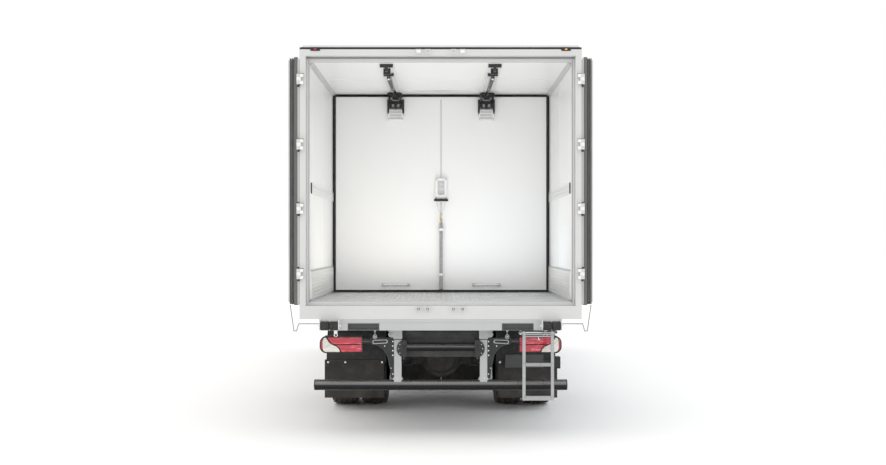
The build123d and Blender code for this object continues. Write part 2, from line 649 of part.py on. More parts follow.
def rear_portal():
    """The welded door frame: rebate and stop all round, gutter groove, keepers and hinge blocks."""
    low, high = BODY_BOTTOM_Z, PORTAL_TOP_Z
    corners = [(-HALF_BODY, low), (HALF_BODY, low), (HALF_BODY, high - 35), (HALF_BODY - 35, high),
               (-HALF_BODY + 35, high), (-HALF_BODY, high - 35)]
    portal = along(outline(corners), (REAR_Y, PORTAL_FRONT_Y))
    portal -= block((-OPENING_X, OPENING_X), (REAR_Y - 1, REAR_Y + REBATE_DEPTH), (SILL_Z, HEADER_BOTTOM_Z))
    portal -= block((-HALF_LOAD, HALF_LOAD), (REAR_Y - 1, PORTAL_FRONT_Y + 1), (FLOOR_Z, CEILING_Z))
    portal -= block((-HALF_BODY, HALF_BODY), (REAR_Y - 1, REAR_Y + 10), (high - 36, high - 16))
    for side in (-1, 1):
        for z in (1217.5, 3586.0):
            for near, far in ((93.0, 145.0), (177.0, 228.0)):
                portal += block((side * near, side * far), (REAR_Y - 18, REAR_Y + 1), (z - 21, z + 21))
        for z in HINGE_Z:
            portal += hinge_block(side, z)
    return portal


def hinge_block(side, z):
    """The frame's half of a hinge: two knuckles with the pin, on blocks from the post."""
    third = HINGE_HEIGHT / 3
    x = side * HINGE_X
    fixed = rod((x, HINGE_Y, z - HINGE_HEIGHT / 2), (x, HINGE_Y, z + HINGE_HEIGHT / 2), HINGE_PIN_R)
    for sign in (-1, 1):
        ends = sorted((z + sign * (third / 2 + 1), z + sign * HINGE_HEIGHT / 2))
        fixed += rod((x, HINGE_Y, ends[0]), (x, HINGE_Y, ends[1]), HINGE_R)
        fixed += block((side * (HALF_BODY - 40), x), (HINGE_Y + 2, REAR_Y + 1), ends)
    return fixed


def box_floor():
    """The insulated floor, its deck raised between gutters along the walls and under the bulkhead."""
    y = (PORTAL_FRONT_Y, FRONT_WALL_Y - WALL)
    floor = block((-HALF_LOAD, HALF_LOAD), y, (BODY_BOTTOM_Z, FLOOR_Z - GUTTER_DEPTH))
    deck_x = HALF_LOAD - GUTTER_WIDTH
    deck_z = (FLOOR_Z - GUTTER_DEPTH - 1, FLOOR_Z)
    floor += block((-deck_x, deck_x), (y[0], BULKHEAD_Y - 100), deck_z)
    floor += block((-deck_x, deck_x), (BULKHEAD_Y + BULKHEAD_THICKNESS, y[1]), deck_z)
    return floor


def box_sides():
    """The two insulated side walls."""
    return pair(block((HALF_LOAD, HALF_BODY), (PORTAL_FRONT_Y, FRONT_WALL_Y), (BODY_BOTTOM_Z, CEILING_Z)))


def box_roof():
    """The roof panel with chamfered long edges."""
    corners = [(-HALF_BODY, CEILING_Z), (HALF_BODY, CEILING_Z), (HALF_BODY, ROOF_Z - 35),
               (HALF_BODY - 35, ROOF_Z), (-HALF_BODY + 35, ROOF_Z), (-HALF_BODY, ROOF_Z - 35)]
    return along(outline(corners), (PORTAL_FRONT_Y, FRONT_WALL_Y))


def box_front():
    """The front wall, between the side walls."""
    return block((-HALF_LOAD, HALF_LOAD), (FRONT_WALL_Y - WALL, FRONT_WALL_Y), (BODY_BOTTOM_Z, CEILING_Z))


def load_rails():
    """Kick plates, ribbed lashing rails on the walls and the bulkhead's ceiling tracks."""
    wall = HALF_LOAD
    pieces = pair(block((wall - KICK_THICKNESS, wall), INSIDE_Y, (FLOOR_Z, FLOOR_Z + KICK_HEIGHT)))
    low = LASHING_Z - LASHING_HEIGHT / 2
    high = LASHING_Z + LASHING_HEIGHT / 2
    ribbed = [(wall, low), (wall, high)]
    for step in range(3):
        top = high - step * 36
        ribbed += [(wall - 10, top), (wall - 10, top - 27), (wall - 5, top - 27), (wall - 5, top - 36)]
    ribbed = ribbed[:-2] + [(wall - 10, low)]
    pieces += pair(along(outline(ribbed), (INSIDE_Y[0] + 15, INSIDE_Y[1])))
    track = block((TRACK_X - TRACK_WIDTH / 2, TRACK_X + TRACK_WIDTH / 2), INSIDE_Y,
                  (CEILING_Z - TRACK_DEPTH, CEILING_Z))
    track -= block((TRACK_X - 20, TRACK_X + 20), (INSIDE_Y[0] - 1, INSIDE_Y[1] + 1),
                   (CEILING_Z - TRACK_DEPTH - 1, CEILING_Z - 8))
    return pieces + pair(track)


def bulkhead_panel():
    """The movable insulated bulkhead, notched to pass the wall rails."""
    edge = HALF_LOAD - KICK_THICKNESS - 2
    depth = (BULKHEAD_Y, BULKHEAD_Y + BULKHEAD_THICKNESS)
    return block((-edge, edge), depth, (FLOOR_Z + SEAT_GAP, BULKHEAD_TOP_Z))


def bulkhead_gear():
    """Carriages on the ceiling tracks, grab handles, and the central latch with its floor rod."""
    face = BULKHEAD_Y
    gear = block((-70, 70), (face - 55, face), (2301, 2562))
    gear += block((-80, 80), (face - 75, face - 40), (2296, 2322))
    gear += rod((0, face - 45, 1285), (0, face - 45, 2305), 17)
    gear += block((-58, 58), (face - 90, face), (FLOOR_Z + SEAT_GAP, 1287))
    for z in (1474.0, 1979.0):
        gear += block((-40, 40), (face - 66, face), (z - 14, z + 14))
    pieces = [gear]
    for side in (-1, 1):
        x = side * TRACK_X
        handle = rod((x - 152, face - 50, 1357), (x + 152, face - 50, 1357), 11)
        for end in (-135, 135):
            handle += block((x + end - 14, x + end + 14), (face - 60, face), (1343, 1371))
        pieces.append(handle)
        carriage = block((x - 95, x + 95), (face - 40, face), (3205, BULKHEAD_TOP_Z))
        carriage += block((x - 70, x + 70), (face - 300, face), (BULKHEAD_TOP_Z - 50, BULKHEAD_TOP_Z))
        carriage += rod((x, face - 1500, 3440), (x, face - 250, 3455), 14)
        carriage += block((x - 50, x + 50), (face - 1560, face - 1480), (3420, BULKHEAD_TOP_Z))
        pieces.append(carriage)
    return pieces


def rear_door(side):
    """One door leaf with its core, hinge straps and knuckles, drawn closed."""
    near = DOOR_SEAM / 2
    far = OPENING_X - DOOR_SEAM
    low = SILL_Z + DOOR_SEAM
    high = HEADER_BOTTOM_Z - DOOR_SEAM
    leaf = block((side * near, side * far), (REAR_Y, REAR_Y + DOOR_LEAF), (low, high))
    core_x = (side * (near + CORE_INSET), side * (far - CORE_INSET))
    core_y = (REAR_Y + DOOR_LEAF - 1, REAR_Y + DOOR_LEAF + DOOR_CORE)
    door = leaf + block(core_x, core_y, (low + CORE_INSET, high - CORE_INSET))
    for z in HINGE_Z:
        half = HINGE_HEIGHT / 6
        x = side * HINGE_X
        door += block((side * (HINGE_X - 245), x), (REAR_Y - 15, REAR_Y - 5), (z - half, z + half))
        door += block((side * (HINGE_X - 245), side * (far - 2)), (REAR_Y - 15, REAR_Y + 1),
                      (z - HINGE_HEIGHT / 2, z + HINGE_HEIGHT / 2))
        door += rod((x, HINGE_Y, z - half), (x, HINGE_Y, z + half), HINGE_R)
        door -= rod((x, HINGE_Y, z - HINGE_HEIGHT / 2), (x, HINGE_Y, z + HINGE_HEIGHT / 2),
                    HINGE_PIN_R + PIN_PLAY)
    return door


def lock_gear(side):
    """The lock rod of one door with its guides and folded handle, drawn closed."""
    x = side * LOCK_X
    gear = rod((x, LOCK_Y, 1203), (x, LOCK_Y, 3600), LOCK_ROD_R)
    # Guides: z, half height
    for z, half in ((1300.0, 25.0), (2020.0, 30.0), (2800.0, 25.0), (3490.0, 25.0)):
        gear += block((x - 40, x + 40), (REAR_Y - 18, REAR_Y - SEAT_GAP), (z - half, z + half))
    gear += block((x, side * (LOCK_X + 420)), (REAR_Y - 16, REAR_Y - 8), (2005, 2035))
    keeper = (side * (LOCK_X + 380), side * (LOCK_X + 440))
    gear += block(keeper, (REAR_Y - 17, REAR_Y - SEAT_GAP), (1990, 2050))
    return gear


def swung_open(shape, side):
    """Turns a closed rear door about its hinge, out and forward along the body side."""
    return shape.rotate(Axis((side * HINGE_X, HINGE_Y, 0), (0, 0, 1)), side * REAR_DOOR_SWING)


# Refrigeration unit


def fridge_unit():
    """The nose-mounted refrigeration unit with sloped face and louvred openings."""
    y = FRONT_WALL_Y
    low, high = FRIDGE_Z
    side_view = outline([(y, low), (y + FRIDGE_DEPTH - 90, low), (y + FRIDGE_DEPTH, low + 110),
                         (y + FRIDGE_DEPTH, high - 190), (y + FRIDGE_DEPTH - 130, high), (y, high)],
                        (0, 40, 60, 60, 60, 0))
    unit = across(side_view, (-FRIDGE_HALF, FRIDGE_HALF))
    corner_y = y + FRIDGE_DEPTH - FRIDGE_CORNER
    corner_x = FRIDGE_HALF - FRIDGE_CORNER
    plan = outline([(-FRIDGE_HALF, y), (FRIDGE_HALF, y), (FRIDGE_HALF, corner_y),
                    (corner_x, corner_y + FRIDGE_CORNER), (-corner_x, corner_y + FRIDGE_CORNER),
                    (-FRIDGE_HALF, corner_y)])
    unit &= upright(plan, FRIDGE_Z)
    for row in range(5):
        z = low + 150 + row * 44
        unit -= block((-520, 520), (y + FRIDGE_DEPTH - 30, y + FRIDGE_DEPTH + 10), (z, z + 24))
    return unit


# Cab

def cab_side(inset):
    """The cab's side outline, moved inward by inset."""
    front = CAB_FRONT_Y - inset
    back = CAB_BACK_Y + inset
    top = CAB_ROOF_Z - inset
    low = CAB_BOTTOM_Z + (CAB_FLOOR if inset else 0)
    points = [(back, low), (SKIRT_Y, low), (SKIRT_Y, low if inset else CAB_SKIRT_Z),
              (front, low if inset else CAB_SKIRT_Z), (front - 20, BELT_Z), (front - 190, top - 190),
              (front - 380, top), (back, top)]
    if inset:
        points = [points[0]] + points[3:]
    radii = [0] * (len(points) - 4) + [60, 90, 120, 60]
    return outline(points, radii)


def cab_plan():
    points = [(-CAB_HALF, CAB_BACK_Y), (CAB_HALF, CAB_BACK_Y),
              (CAB_HALF, CAB_FRONT_Y), (-CAB_HALF, CAB_FRONT_Y)]
    return outline(points, (40, 40, 130, 130))


def cab_end():
    points = [(-CAB_HALF, CAB_SKIRT_Z), (CAB_HALF, CAB_SKIRT_Z),
              (CAB_HALF, CAB_ROOF_Z), (-CAB_HALF, CAB_ROOF_Z)]
    return outline(points, (0, 0, 90, 90))


def cab_door_outline():
    sill_z = CAB_BOTTOM_Z + 60
    points = [(DOOR_FRONT_Y, CAB_DOOR_LOW_Z), (DOOR_FRONT_Y, BELT_Z), (DOOR_FRONT_Y - 150, CAB_DOOR_TOP_Z),
              (DOOR_BACK_Y, CAB_DOOR_TOP_Z), (DOOR_BACK_Y, sill_z), (SKIRT_Y - 60, sill_z),
              (SKIRT_Y + 60, CAB_DOOR_LOW_Z)]
    return outline(points, (30, 0, 60, 60, 60, 60, 60))


def door_window_outline():
    low = BELT_Z + 30
    high = CAB_DOOR_TOP_Z - 80
    points = [(DOOR_FRONT_Y - 90, low), (DOOR_FRONT_Y - 210, high), (DOOR_BACK_Y + 90, high),
              (DOOR_BACK_Y + 90, low)]
    return outline(points, (30, 40, 60, 60))


def cab_shell():
    """The hollow cab: floor with engine tunnel, back, roof, pillars and front, apertures cut."""
    shell = across(cab_side(0), (-CAB_HALF, CAB_HALF))
    shell &= upright(cab_plan(), (CAB_SKIRT_Z, CAB_ROOF_Z))
    shell &= along(cab_end(), (CAB_BACK_Y, CAB_FRONT_Y))
    inner = CAB_HALF - CAB_WALL
    cavity = across(cab_side(CAB_WALL), (-inner, inner))
    tunnel_y = (CAB_BACK_Y + CAB_WALL, CAB_FRONT_Y)
    cavity -= block((-TUNNEL_HALF, TUNNEL_HALF), tunnel_y, (CAB_BOTTOM_Z, TUNNEL_Z))
    shell -= cavity
    shell -= block((-inner, inner), (SKIRT_Y - 1, CAB_FRONT_Y - CAB_WALL), (CAB_SKIRT_Z - 1, CAB_BOTTOM_Z))
    core = TUNNEL_HALF - 40
    shell -= block((-core, core), (CAB_BACK_Y - 1, CAB_FRONT_Y - CAB_WALL), (CAB_SKIRT_Z - 1, TUNNEL_Z - 40))
    for side in (-1, 1):
        hole = offset(cab_door_outline(), amount=CAB_DOOR_GAP, kind=Kind.ARC)
        shell -= across(hole, tuple(sorted((side * (inner - 20), side * (CAB_HALF + 20)))))
        shell += block((side * 410, side * 440), (PIVOT_Y - 35, PIVOT_Y + 20), (PIVOT_Z, CAB_BOTTOM_Z + 1))
        shell += rod((side * 410, PIVOT_Y, PIVOT_Z), (side * 440, PIVOT_Y, PIVOT_Z), 35)
        shell -= rod((side * 405, PIVOT_Y, PIVOT_Z), (side * 445, PIVOT_Y, PIVOT_Z), 20 + PIN_PLAY)
    shell -= block((-SCREEN_HALF, SCREEN_HALF), (CAB_FRONT_Y - 330, CAB_FRONT_Y + 10), SCREEN_Z)
    shell -= block((-GRILLE_HALF, GRILLE_HALF), (CAB_FRONT_Y - CAB_WALL - 20, CAB_FRONT_Y + 10), GRILLE_Z)
    return shell


def screen_y(z):
    """How far forward the windscreen's outer face is at a height."""
    lean = 170.0 / (CAB_ROOF_Z - 190 - BELT_Z)
    return CAB_FRONT_Y - 20 - (z - BELT_Z) * lean


def windscreen():
    """A raked pane seated in its aperture."""
    low = SCREEN_Z[0] + SEAT_GAP
    high = SCREEN_Z[1] - SEAT_GAP
    depth = 25.0
    pane = outline([(screen_y(low) - depth - GLASS, low), (screen_y(low) - depth, low),
                    (screen_y(high) - depth, high), (screen_y(high) - depth - GLASS, high)])
    return across(pane, (-SCREEN_HALF + SEAT_GAP, SCREEN_HALF - SEAT_GAP))


def grille():
    """A frame with horizontal bars that seats in the opening of the cab's front."""
    low = GRILLE_Z[0] + SEAT_GAP
    high = GRILLE_Z[1] - SEAT_GAP
    half = GRILLE_HALF - SEAT_GAP
    y = (CAB_FRONT_Y - 55, CAB_FRONT_Y - 15)
    frame = block((-half, half), y, (low, high))
    pitch = (high - low - 20) / GRILLE_BARS
    for row in range(GRILLE_BARS):
        z = low + 20 + row * pitch
        frame -= block((-half + 30, half - 30), (y[0] - 1, y[1] + 1), (z, z + pitch - 22))
    return frame


def cab_door(side):
    """A door as thick as the cab wall, its window cut, with a pull handle recess."""
    span = tuple(sorted((side * (CAB_HALF - CAB_WALL), side * CAB_HALF)))
    door = across(cab_door_outline(), span) - across(door_window_outline(), (span[0] - 5, span[1] + 5))
    recess_z = BELT_Z - 130
    door -= block((side * (CAB_HALF - 25), side * (CAB_HALF + 5)), (DOOR_BACK_Y + 60, DOOR_BACK_Y + 240),
                  (recess_z, recess_z + 60))
    for z in (CAB_DOOR_LOW_Z + 260, BELT_Z - 100):
        reach = (DOOR_FRONT_Y - 1, DOOR_FRONT_Y + CAB_DOOR_GAP - SEAT_GAP)
        door += block((side * (CAB_HALF - 30), side * CAB_HALF), reach, (z - 40, z + 40))
    return door


def door_glass(side):
    """The side window, seated in the door's window cut."""
    pane = offset(door_window_outline(), amount=-SEAT_GAP)
    x = side * (CAB_HALF - CAB_WALL / 2)
    return across(pane, (x - GLASS / 2, x + GLASS / 2))


def mirror_arm(side):
    """A door-mounted mirror: two arms and a rounded housing."""
    x = side * CAB_HALF
    y = DOOR_FRONT_Y - 60
    head = outline([(y - 70, 1930), (y + 10, 1930), (y + 10, 2480), (y - 70, 2480)], (20, 30, 30, 20))
    span = tuple(sorted((x + side * 110, x + side * 330)))
    housing = across(head, span)
    # Arms: height, distance of the foot behind the door's front edge
    for z, back in ((1985.0, 87.0), (2425.0, 160.0)):
        foot_y = DOOR_FRONT_Y - back
        housing += block((x, x + side * 12), (foot_y - 22, foot_y + 22), (z - 30, z + 30))
        housing += rod((x + side * 11, foot_y, z), (x + side * 140, y - 40, z), 14)
    return housing


def dashboard():
    """The fascia across the cab, with the column that carries the steering wheel."""
    front = CAB_FRONT_Y - CAB_WALL - 22
    shape = outline([(front, 1420), (front, BELT_Z - 20), (front - 200, BELT_Z - 10),
                     (front - 330, BELT_Z - 110), (front - 300, 1420)], (0, 0, 60, 50, 40))
    half = CAB_HALF - CAB_WALL - 90
    fascia = across(shape, (-half, half))
    foot = block((-half, half), (front - 260, front - 200), (CAB_BOTTOM_Z + CAB_FLOOR, 1425))
    foot -= block((-TUNNEL_HALF - 1, TUNNEL_HALF + 1), (front - 270, front - 190),
                  (CAB_BOTTOM_Z, TUNNEL_Z + 0.1))
    fascia += foot
    fascia += rod((-SEAT_X, front - 200, 1520), COLUMN_END, 28)
    return fascia


def steering_wheel():
    """A rim on three spokes about the column."""
    way = Vector(*COLUMN_END) - Vector(*COLUMN_START)
    plane = Plane(origin=Vector(*COLUMN_END) + way.normalized() * 12, z_dir=way)
    section = Plane.XZ * Pos(225, 0) * RegularPolygon(15, 6)
    wheel = revolve(section, Axis.Z) + Cylinder(60, 22)
    for angle in (90, 210, 330):
        wheel += Rot(0, 0, angle) * (Pos(120, 0, 0) * Box(210, 34, 14))
    return plane * wheel


def seats():
    """A driver's seat on its pedestal and a double bench, each a simple cushion and back."""
    floor = CAB_BOTTOM_Z + CAB_FLOOR
    # Seats: x centre, half width
    pieces = []
    for x, half in ((-SEAT_X, 240.0), (SEAT_X - 20, 260.0)):
        y = CAB_BACK_Y + CAB_WALL + 330
        seat = block((x - half, x + half), (y - 220, y + 270), (1500, 1640))
        seat += block((x - half * 0.7, x + half * 0.7), (y - 160, y + 200), (floor, 1505))
        back = outline([(y - 220, 1600), (y - 80, 1600), (y - 160, 2230), (y - 270, 2230)], (0, 0, 50, 50))
        seat += across(back, (x - half + 10, x + half - 10))
        pieces.append(seat)
    return pieces


# Steering and wheels

def knuckle(side):
    """A forked knuckle on its kingpin with spindle, brake drum and steering arm."""
    x = side * KINGPIN_X
    y = FRONT_AXLE_Y
    body = rod((x, y, 405), (x, y, 635), 20)
    for low, high in ((405.0, 440.0), (600.0, 635.0)):
        body += block((x - 40, x + 40), (y - 45, y + 45), (low, high))
        body += block((x, x + side * 85), (y - 45, y + 45), (low, high))
    body += block((x + side * 55, x + side * 85), (y - 45, y + 45), (405, 635))
    body += rod((x + side * 70, y, AXLE_Z), (side * (FRONT_WHEEL_X + SPINDLE_REACH), y, AXLE_Z), SPINDLE_R)
    body += rod((x + side * 84, y, AXLE_Z), (side * (FRONT_WHEEL_X - 10), y, AXLE_Z), 190)
    arm_z = (TRACK_ROD_Z + 30, TRACK_ROD_Z + 55)
    body += block((x - 20, x + 20), (y - STEER_ARM - 22, y - 30), arm_z)
    body += rod((x, y - STEER_ARM, TRACK_ROD_Z - 22), (x, y - STEER_ARM, arm_z[0] + 1), 10)
    return body


def track_rod():
    """The bar between the steering arms, with an eye at each end."""
    y = FRONT_AXLE_Y - STEER_ARM
    bar = rod((-KINGPIN_X, y, TRACK_ROD_Z), (KINGPIN_X, y, TRACK_ROD_Z), 19)
    for side in (-1, 1):
        bar += Pos(side * KINGPIN_X, y, TRACK_ROD_Z) * Cylinder(27, 40)
        bar -= Pos(side * KINGPIN_X, y, TRACK_ROD_Z) * Cylinder(10 + PIN_PLAY, 60)
    return bar


def tyre(x, y):
    """A square-shouldered carcass, bored to seat on its rim."""
    half = TYRE_WIDTH / 2
    bore = RIM_R + SEAT_GAP
    return ring([(-half, bore), (-half, TYRE_R), (half, TYRE_R), (half, bore)], x, y, AXLE_Z)


def front_rim(side):
    """A rim with its disc set outward, hand holes and a hub cap over the spindle."""
    wide = RIM_WIDTH / 2
    inner = RIM_R - RIM_WALL
    face = DISC_X + DISC_THICKNESS
    profile = [(-wide, inner), (-wide, RIM_R), (wide, RIM_R), (wide, inner), (face, inner), (face, HUB_R),
               (FRONT_HUB_END, HUB_R), (FRONT_HUB_END, 0), (DISC_X, 0), (DISC_X, inner)]
    rim = ring([(side * a, r) for a, r in profile], side * FRONT_WHEEL_X, FRONT_AXLE_Y, AXLE_Z)
    rim -= rod((side * FRONT_WHEEL_X, FRONT_AXLE_Y, AXLE_Z),
               (side * (FRONT_WHEEL_X + SPINDLE_REACH + 4), FRONT_AXLE_Y, AXLE_Z), SPINDLE_R + HUB_PLAY)
    return rim - hand_holes(side * (FRONT_WHEEL_X + 60), FRONT_AXLE_Y)


def hand_holes(x, y):
    """Tapered slots round the wheel disc."""
    holes = None
    taper = Polygon((-22, 178), (22, 178), (34, 232), (-34, 232), align=None)
    for index in range(HAND_HOLES):
        slot = Pos(x, 0, 0) * extrude(Plane.YZ * taper, 80, both=True)
        turned = Pos(0, y, AXLE_Z) * Rot(index * 360 / HAND_HOLES, 0, 0) * slot
        holes = turned if holes is None else holes + turned
    return holes


def rear_rims(side):
    """Two rims with their discs clamped on one hub, as one turning piece."""
    inner = RIM_R - RIM_WALL
    start = DUAL_SPACING / 2 - RIM_WIDTH / 2
    end = start + RIM_WIDTH
    disc = start + DISC_THICKNESS
    bore = REAR_STUB_R + HUB_PLAY
    # Offset from the middle of the pair, radius
    profile = [(-disc, bore), (-disc, inner), (-end, inner), (-end, RIM_R), (-start, RIM_R),
               (-start, CLAMP_R), (start, CLAMP_R), (start, RIM_R), (end, RIM_R), (end, inner), (disc, inner),
               (disc, HUB_R), (REAR_HUB_END, HUB_R), (REAR_HUB_END, bore)]
    rims = ring([(side * a, r) for a, r in profile], side * REAR_PAIR_X, REAR_AXLE_Y, AXLE_Z)
    return rims - hand_holes(side * REAR_PAIR_X, REAR_AXLE_Y)


def rear_tyres(side):
    half = DUAL_SPACING / 2
    return [tyre(side * (REAR_PAIR_X - half), REAR_AXLE_Y), tyre(side * (REAR_PAIR_X + half), REAR_AXLE_Y)]


def write_all():
    os.makedirs("parts", exist_ok=True)
    # Pieces that come once: node, maker
    single = [("chassis_frame", chassis_frame), ("front_axle_beam", front_axle_beam),
              ("suspension", suspension), ("rear_axle", rear_axle), ("engine_gearbox", engine_gearbox),
              ("tanks", tanks), ("side_boxes", side_boxes), ("side_guards", side_guards),
              ("front_bumper", front_bumper), ("headlamps", headlamps), ("front_mudguards", front_mudguards),
              ("rear_mudguards", rear_mudguards), ("mud_flaps", mud_flaps), ("underrun_bar", underrun_bar),
              ("underrun_posts", underrun_posts), ("rear_cross_tube", rear_cross_tube),
              ("tail_lamps", tail_lamps), ("lamp_arms", lamp_arms), ("box_subframe", box_subframe),
              ("roller_brackets", roller_brackets), ("buffer_rollers", buffer_rollers),
              ("door_holders", door_holders), ("ladder", ladder), ("ladder_bracket", ladder_bracket),
              ("rear_portal", rear_portal), ("box_floor", box_floor), ("box_sides", box_sides),
              ("box_roof", box_roof), ("box_front", box_front), ("load_rails", load_rails),
              ("bulkhead_panel", bulkhead_panel), ("bulkhead_gear", bulkhead_gear),
              ("fridge_unit", fridge_unit), ("cab_shell", cab_shell), ("windscreen", windscreen),
              ("grille", grille), ("dashboard", dashboard), ("steering_wheel", steering_wheel),
              ("seats", seats), ("track_rod", track_rod)]
    for name, maker in single:
        save(name, maker())
    for side, word in ((-1, "left"), (1, "right")):
        save(f"rear_door_{word}", swung_open(rear_door(side), side))
        save(f"lock_gear_{word}", swung_open(lock_gear(side), side))
        save(f"cab_door_{word}", cab_door(side))
        save(f"door_glass_{word}", door_glass(side))
        save(f"mirror_{word}", mirror_arm(side))
        save(f"knuckle_{word}", knuckle(side))
        save(f"rim_front_{word}", front_rim(side))
        save(f"tyre_front_{word}", tyre(side * FRONT_WHEEL_X, FRONT_AXLE_Y))
        save(f"rims_rear_{word}", rear_rims(side))
        save(f"tyres_rear_{word}", rear_tyres(side))


write_all()
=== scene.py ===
import json
import math
import random

import bmesh
import bpy
from mathutils import Matrix, Vector


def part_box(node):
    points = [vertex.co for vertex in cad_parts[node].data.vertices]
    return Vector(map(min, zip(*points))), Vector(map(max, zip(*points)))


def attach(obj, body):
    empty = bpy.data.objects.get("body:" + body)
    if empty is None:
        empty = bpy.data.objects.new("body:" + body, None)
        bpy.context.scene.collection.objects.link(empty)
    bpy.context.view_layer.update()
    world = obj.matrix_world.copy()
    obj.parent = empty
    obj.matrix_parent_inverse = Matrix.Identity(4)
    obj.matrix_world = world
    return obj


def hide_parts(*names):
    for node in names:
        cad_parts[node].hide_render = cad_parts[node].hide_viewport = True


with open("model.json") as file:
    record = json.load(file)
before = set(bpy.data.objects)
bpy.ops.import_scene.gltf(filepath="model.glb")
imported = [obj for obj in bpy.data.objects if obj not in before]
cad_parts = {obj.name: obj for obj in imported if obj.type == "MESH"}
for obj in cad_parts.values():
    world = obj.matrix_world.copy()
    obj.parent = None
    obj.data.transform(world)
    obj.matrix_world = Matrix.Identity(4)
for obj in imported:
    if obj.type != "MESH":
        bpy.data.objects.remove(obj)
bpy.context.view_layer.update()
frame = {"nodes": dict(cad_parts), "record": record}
nodes = frame["nodes"]
random.seed(7)

# Places in millimetres, read from the frame or repeated from the part's source

MM = 0.001
REAR_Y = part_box("box_floor")[0].y / MM - 130
FLOOR_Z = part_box("box_floor")[1].z / MM
CEILING_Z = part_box("box_roof")[0].z / MM
WALL_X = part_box("box_floor")[1].x / MM
BODY_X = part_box("box_sides")[1].x / MM
FRONT_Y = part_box("box_front")[1].y / MM
TOP_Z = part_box("rear_portal")[1].z / MM
BULKHEAD_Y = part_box("bulkhead_panel")[0].y / MM
INSIDE_Y = (REAR_Y + 190, FRONT_Y - 80)
HINGE_X = BODY_X + 3
HINGE_Y = REAR_Y - 22
HINGE_Z = (1540, 2140, 2730, 3330)
TYRE_R = 522
FRONT_AXLE_Y = 3215
REAR_AXLE_Y = -2135
CAB_FRONT_Y = 4520
CAB_BACK_Y = 2945
BUMPER_Y = 4595
KEEPER_X = (119, 202.5)         # the two ears of a lock rod's keeper, from the centre plane
SILL_KEEPER_Z = 1217.5
HEADER_KEEPER_Z = 3586
GRIP_Z = 1357                   # the handles low on the bulkhead


# Materials

def new_material(name):
    made = bpy.data.materials.new(name)
    made.use_nodes = True
    tree = made.node_tree
    return made, tree, tree.nodes["Principled BSDF"]


def link(tree, source, target):
    tree.links.new(source, target)


def place(tree):
    """Where a point is on the piece, in metres."""
    return tree.nodes.new("ShaderNodeTexCoord").outputs["Object"]


def scaled(tree, stretch):
    mapping = tree.nodes.new("ShaderNodeMapping")
    mapping.inputs["Scale"].default_value = stretch
    link(tree, place(tree), mapping.inputs["Vector"])
    return mapping.outputs["Vector"]


def noise(tree, scale, detail=3.0, stretch=None):
    """Fractal noise from 0 to 1 with scale cells a metre, stretched along an axis if asked."""
    texture = tree.nodes.new("ShaderNodeTexNoise")
    texture.inputs["Scale"].default_value = scale
    texture.inputs["Detail"].default_value = detail
    link(tree, scaled(tree, stretch) if stretch else place(tree), texture.inputs["Vector"])
    return texture.outputs["Fac"]


def ramp(tree, value, stops):
    """Colours or grey levels along a value: (position, colour) pairs."""
    node = tree.nodes.new("ShaderNodeValToRGB")
    while len(node.color_ramp.elements) < len(stops):
        node.color_ramp.elements.new(0.5)
    for element, (position, colour) in zip(node.color_ramp.elements, stops):
        element.position = position
        element.color = colour if len(colour) == 4 else (*colour, 1.0)
    link(tree, value, node.inputs["Fac"])
    return node.outputs["Color"]


def level(tree, value, low, high, start=0.3, end=0.7):
    """A value from low to high as the given one goes from start to end."""
    node = tree.nodes.new("ShaderNodeMapRange")
    for key, number in (("From Min", start), ("From Max", end), ("To Min", low), ("To Max", high)):
        node.inputs[key].default_value = number
    link(tree, value, node.inputs["Value"])
    return node.outputs["Result"]


def combine(tree, operation, first, second):
    node = tree.nodes.new("ShaderNodeMath")
    node.operation = operation
    for socket, value in zip(node.inputs, (first, second)):
        if hasattr(value, "is_linked"):
            link(tree, value, socket)
        else:
            socket.default_value = value
    return node.outputs["Value"]


def axis_value(tree, axis):
    """One coordinate of a point, in metres."""
    node = tree.nodes.new("ShaderNodeSeparateXYZ")
    link(tree, place(tree), node.inputs["Vector"])
    return node.outputs[axis]


def blend_colours(tree, factor, first, second, kind="MIX"):
    node = tree.nodes.new("ShaderNodeMix")
    node.data_type = "RGBA"
    node.blend_type = kind
    for key, value in ((0, factor), (6, first), (7, second)):
        if hasattr(value, "is_linked"):
            link(tree, value, node.inputs[key])
        elif isinstance(value, tuple):
            node.inputs[key].default_value = value if len(value) == 4 else (*value, 1.0)
        else:
            node.inputs[key].default_value = value
    return node.outputs[2]


def bump(tree, shader, height, strength, distance):
    node = tree.nodes.new("ShaderNodeBump")
    node.inputs["Strength"].default_value = strength
    node.inputs["Distance"].default_value = distance
    link(tree, height, node.inputs["Height"])
    link(tree, node.outputs["Normal"], shader.inputs["Normal"])


def shade(colour, share):
    return tuple(min(1.0, part * share) for part in colour)


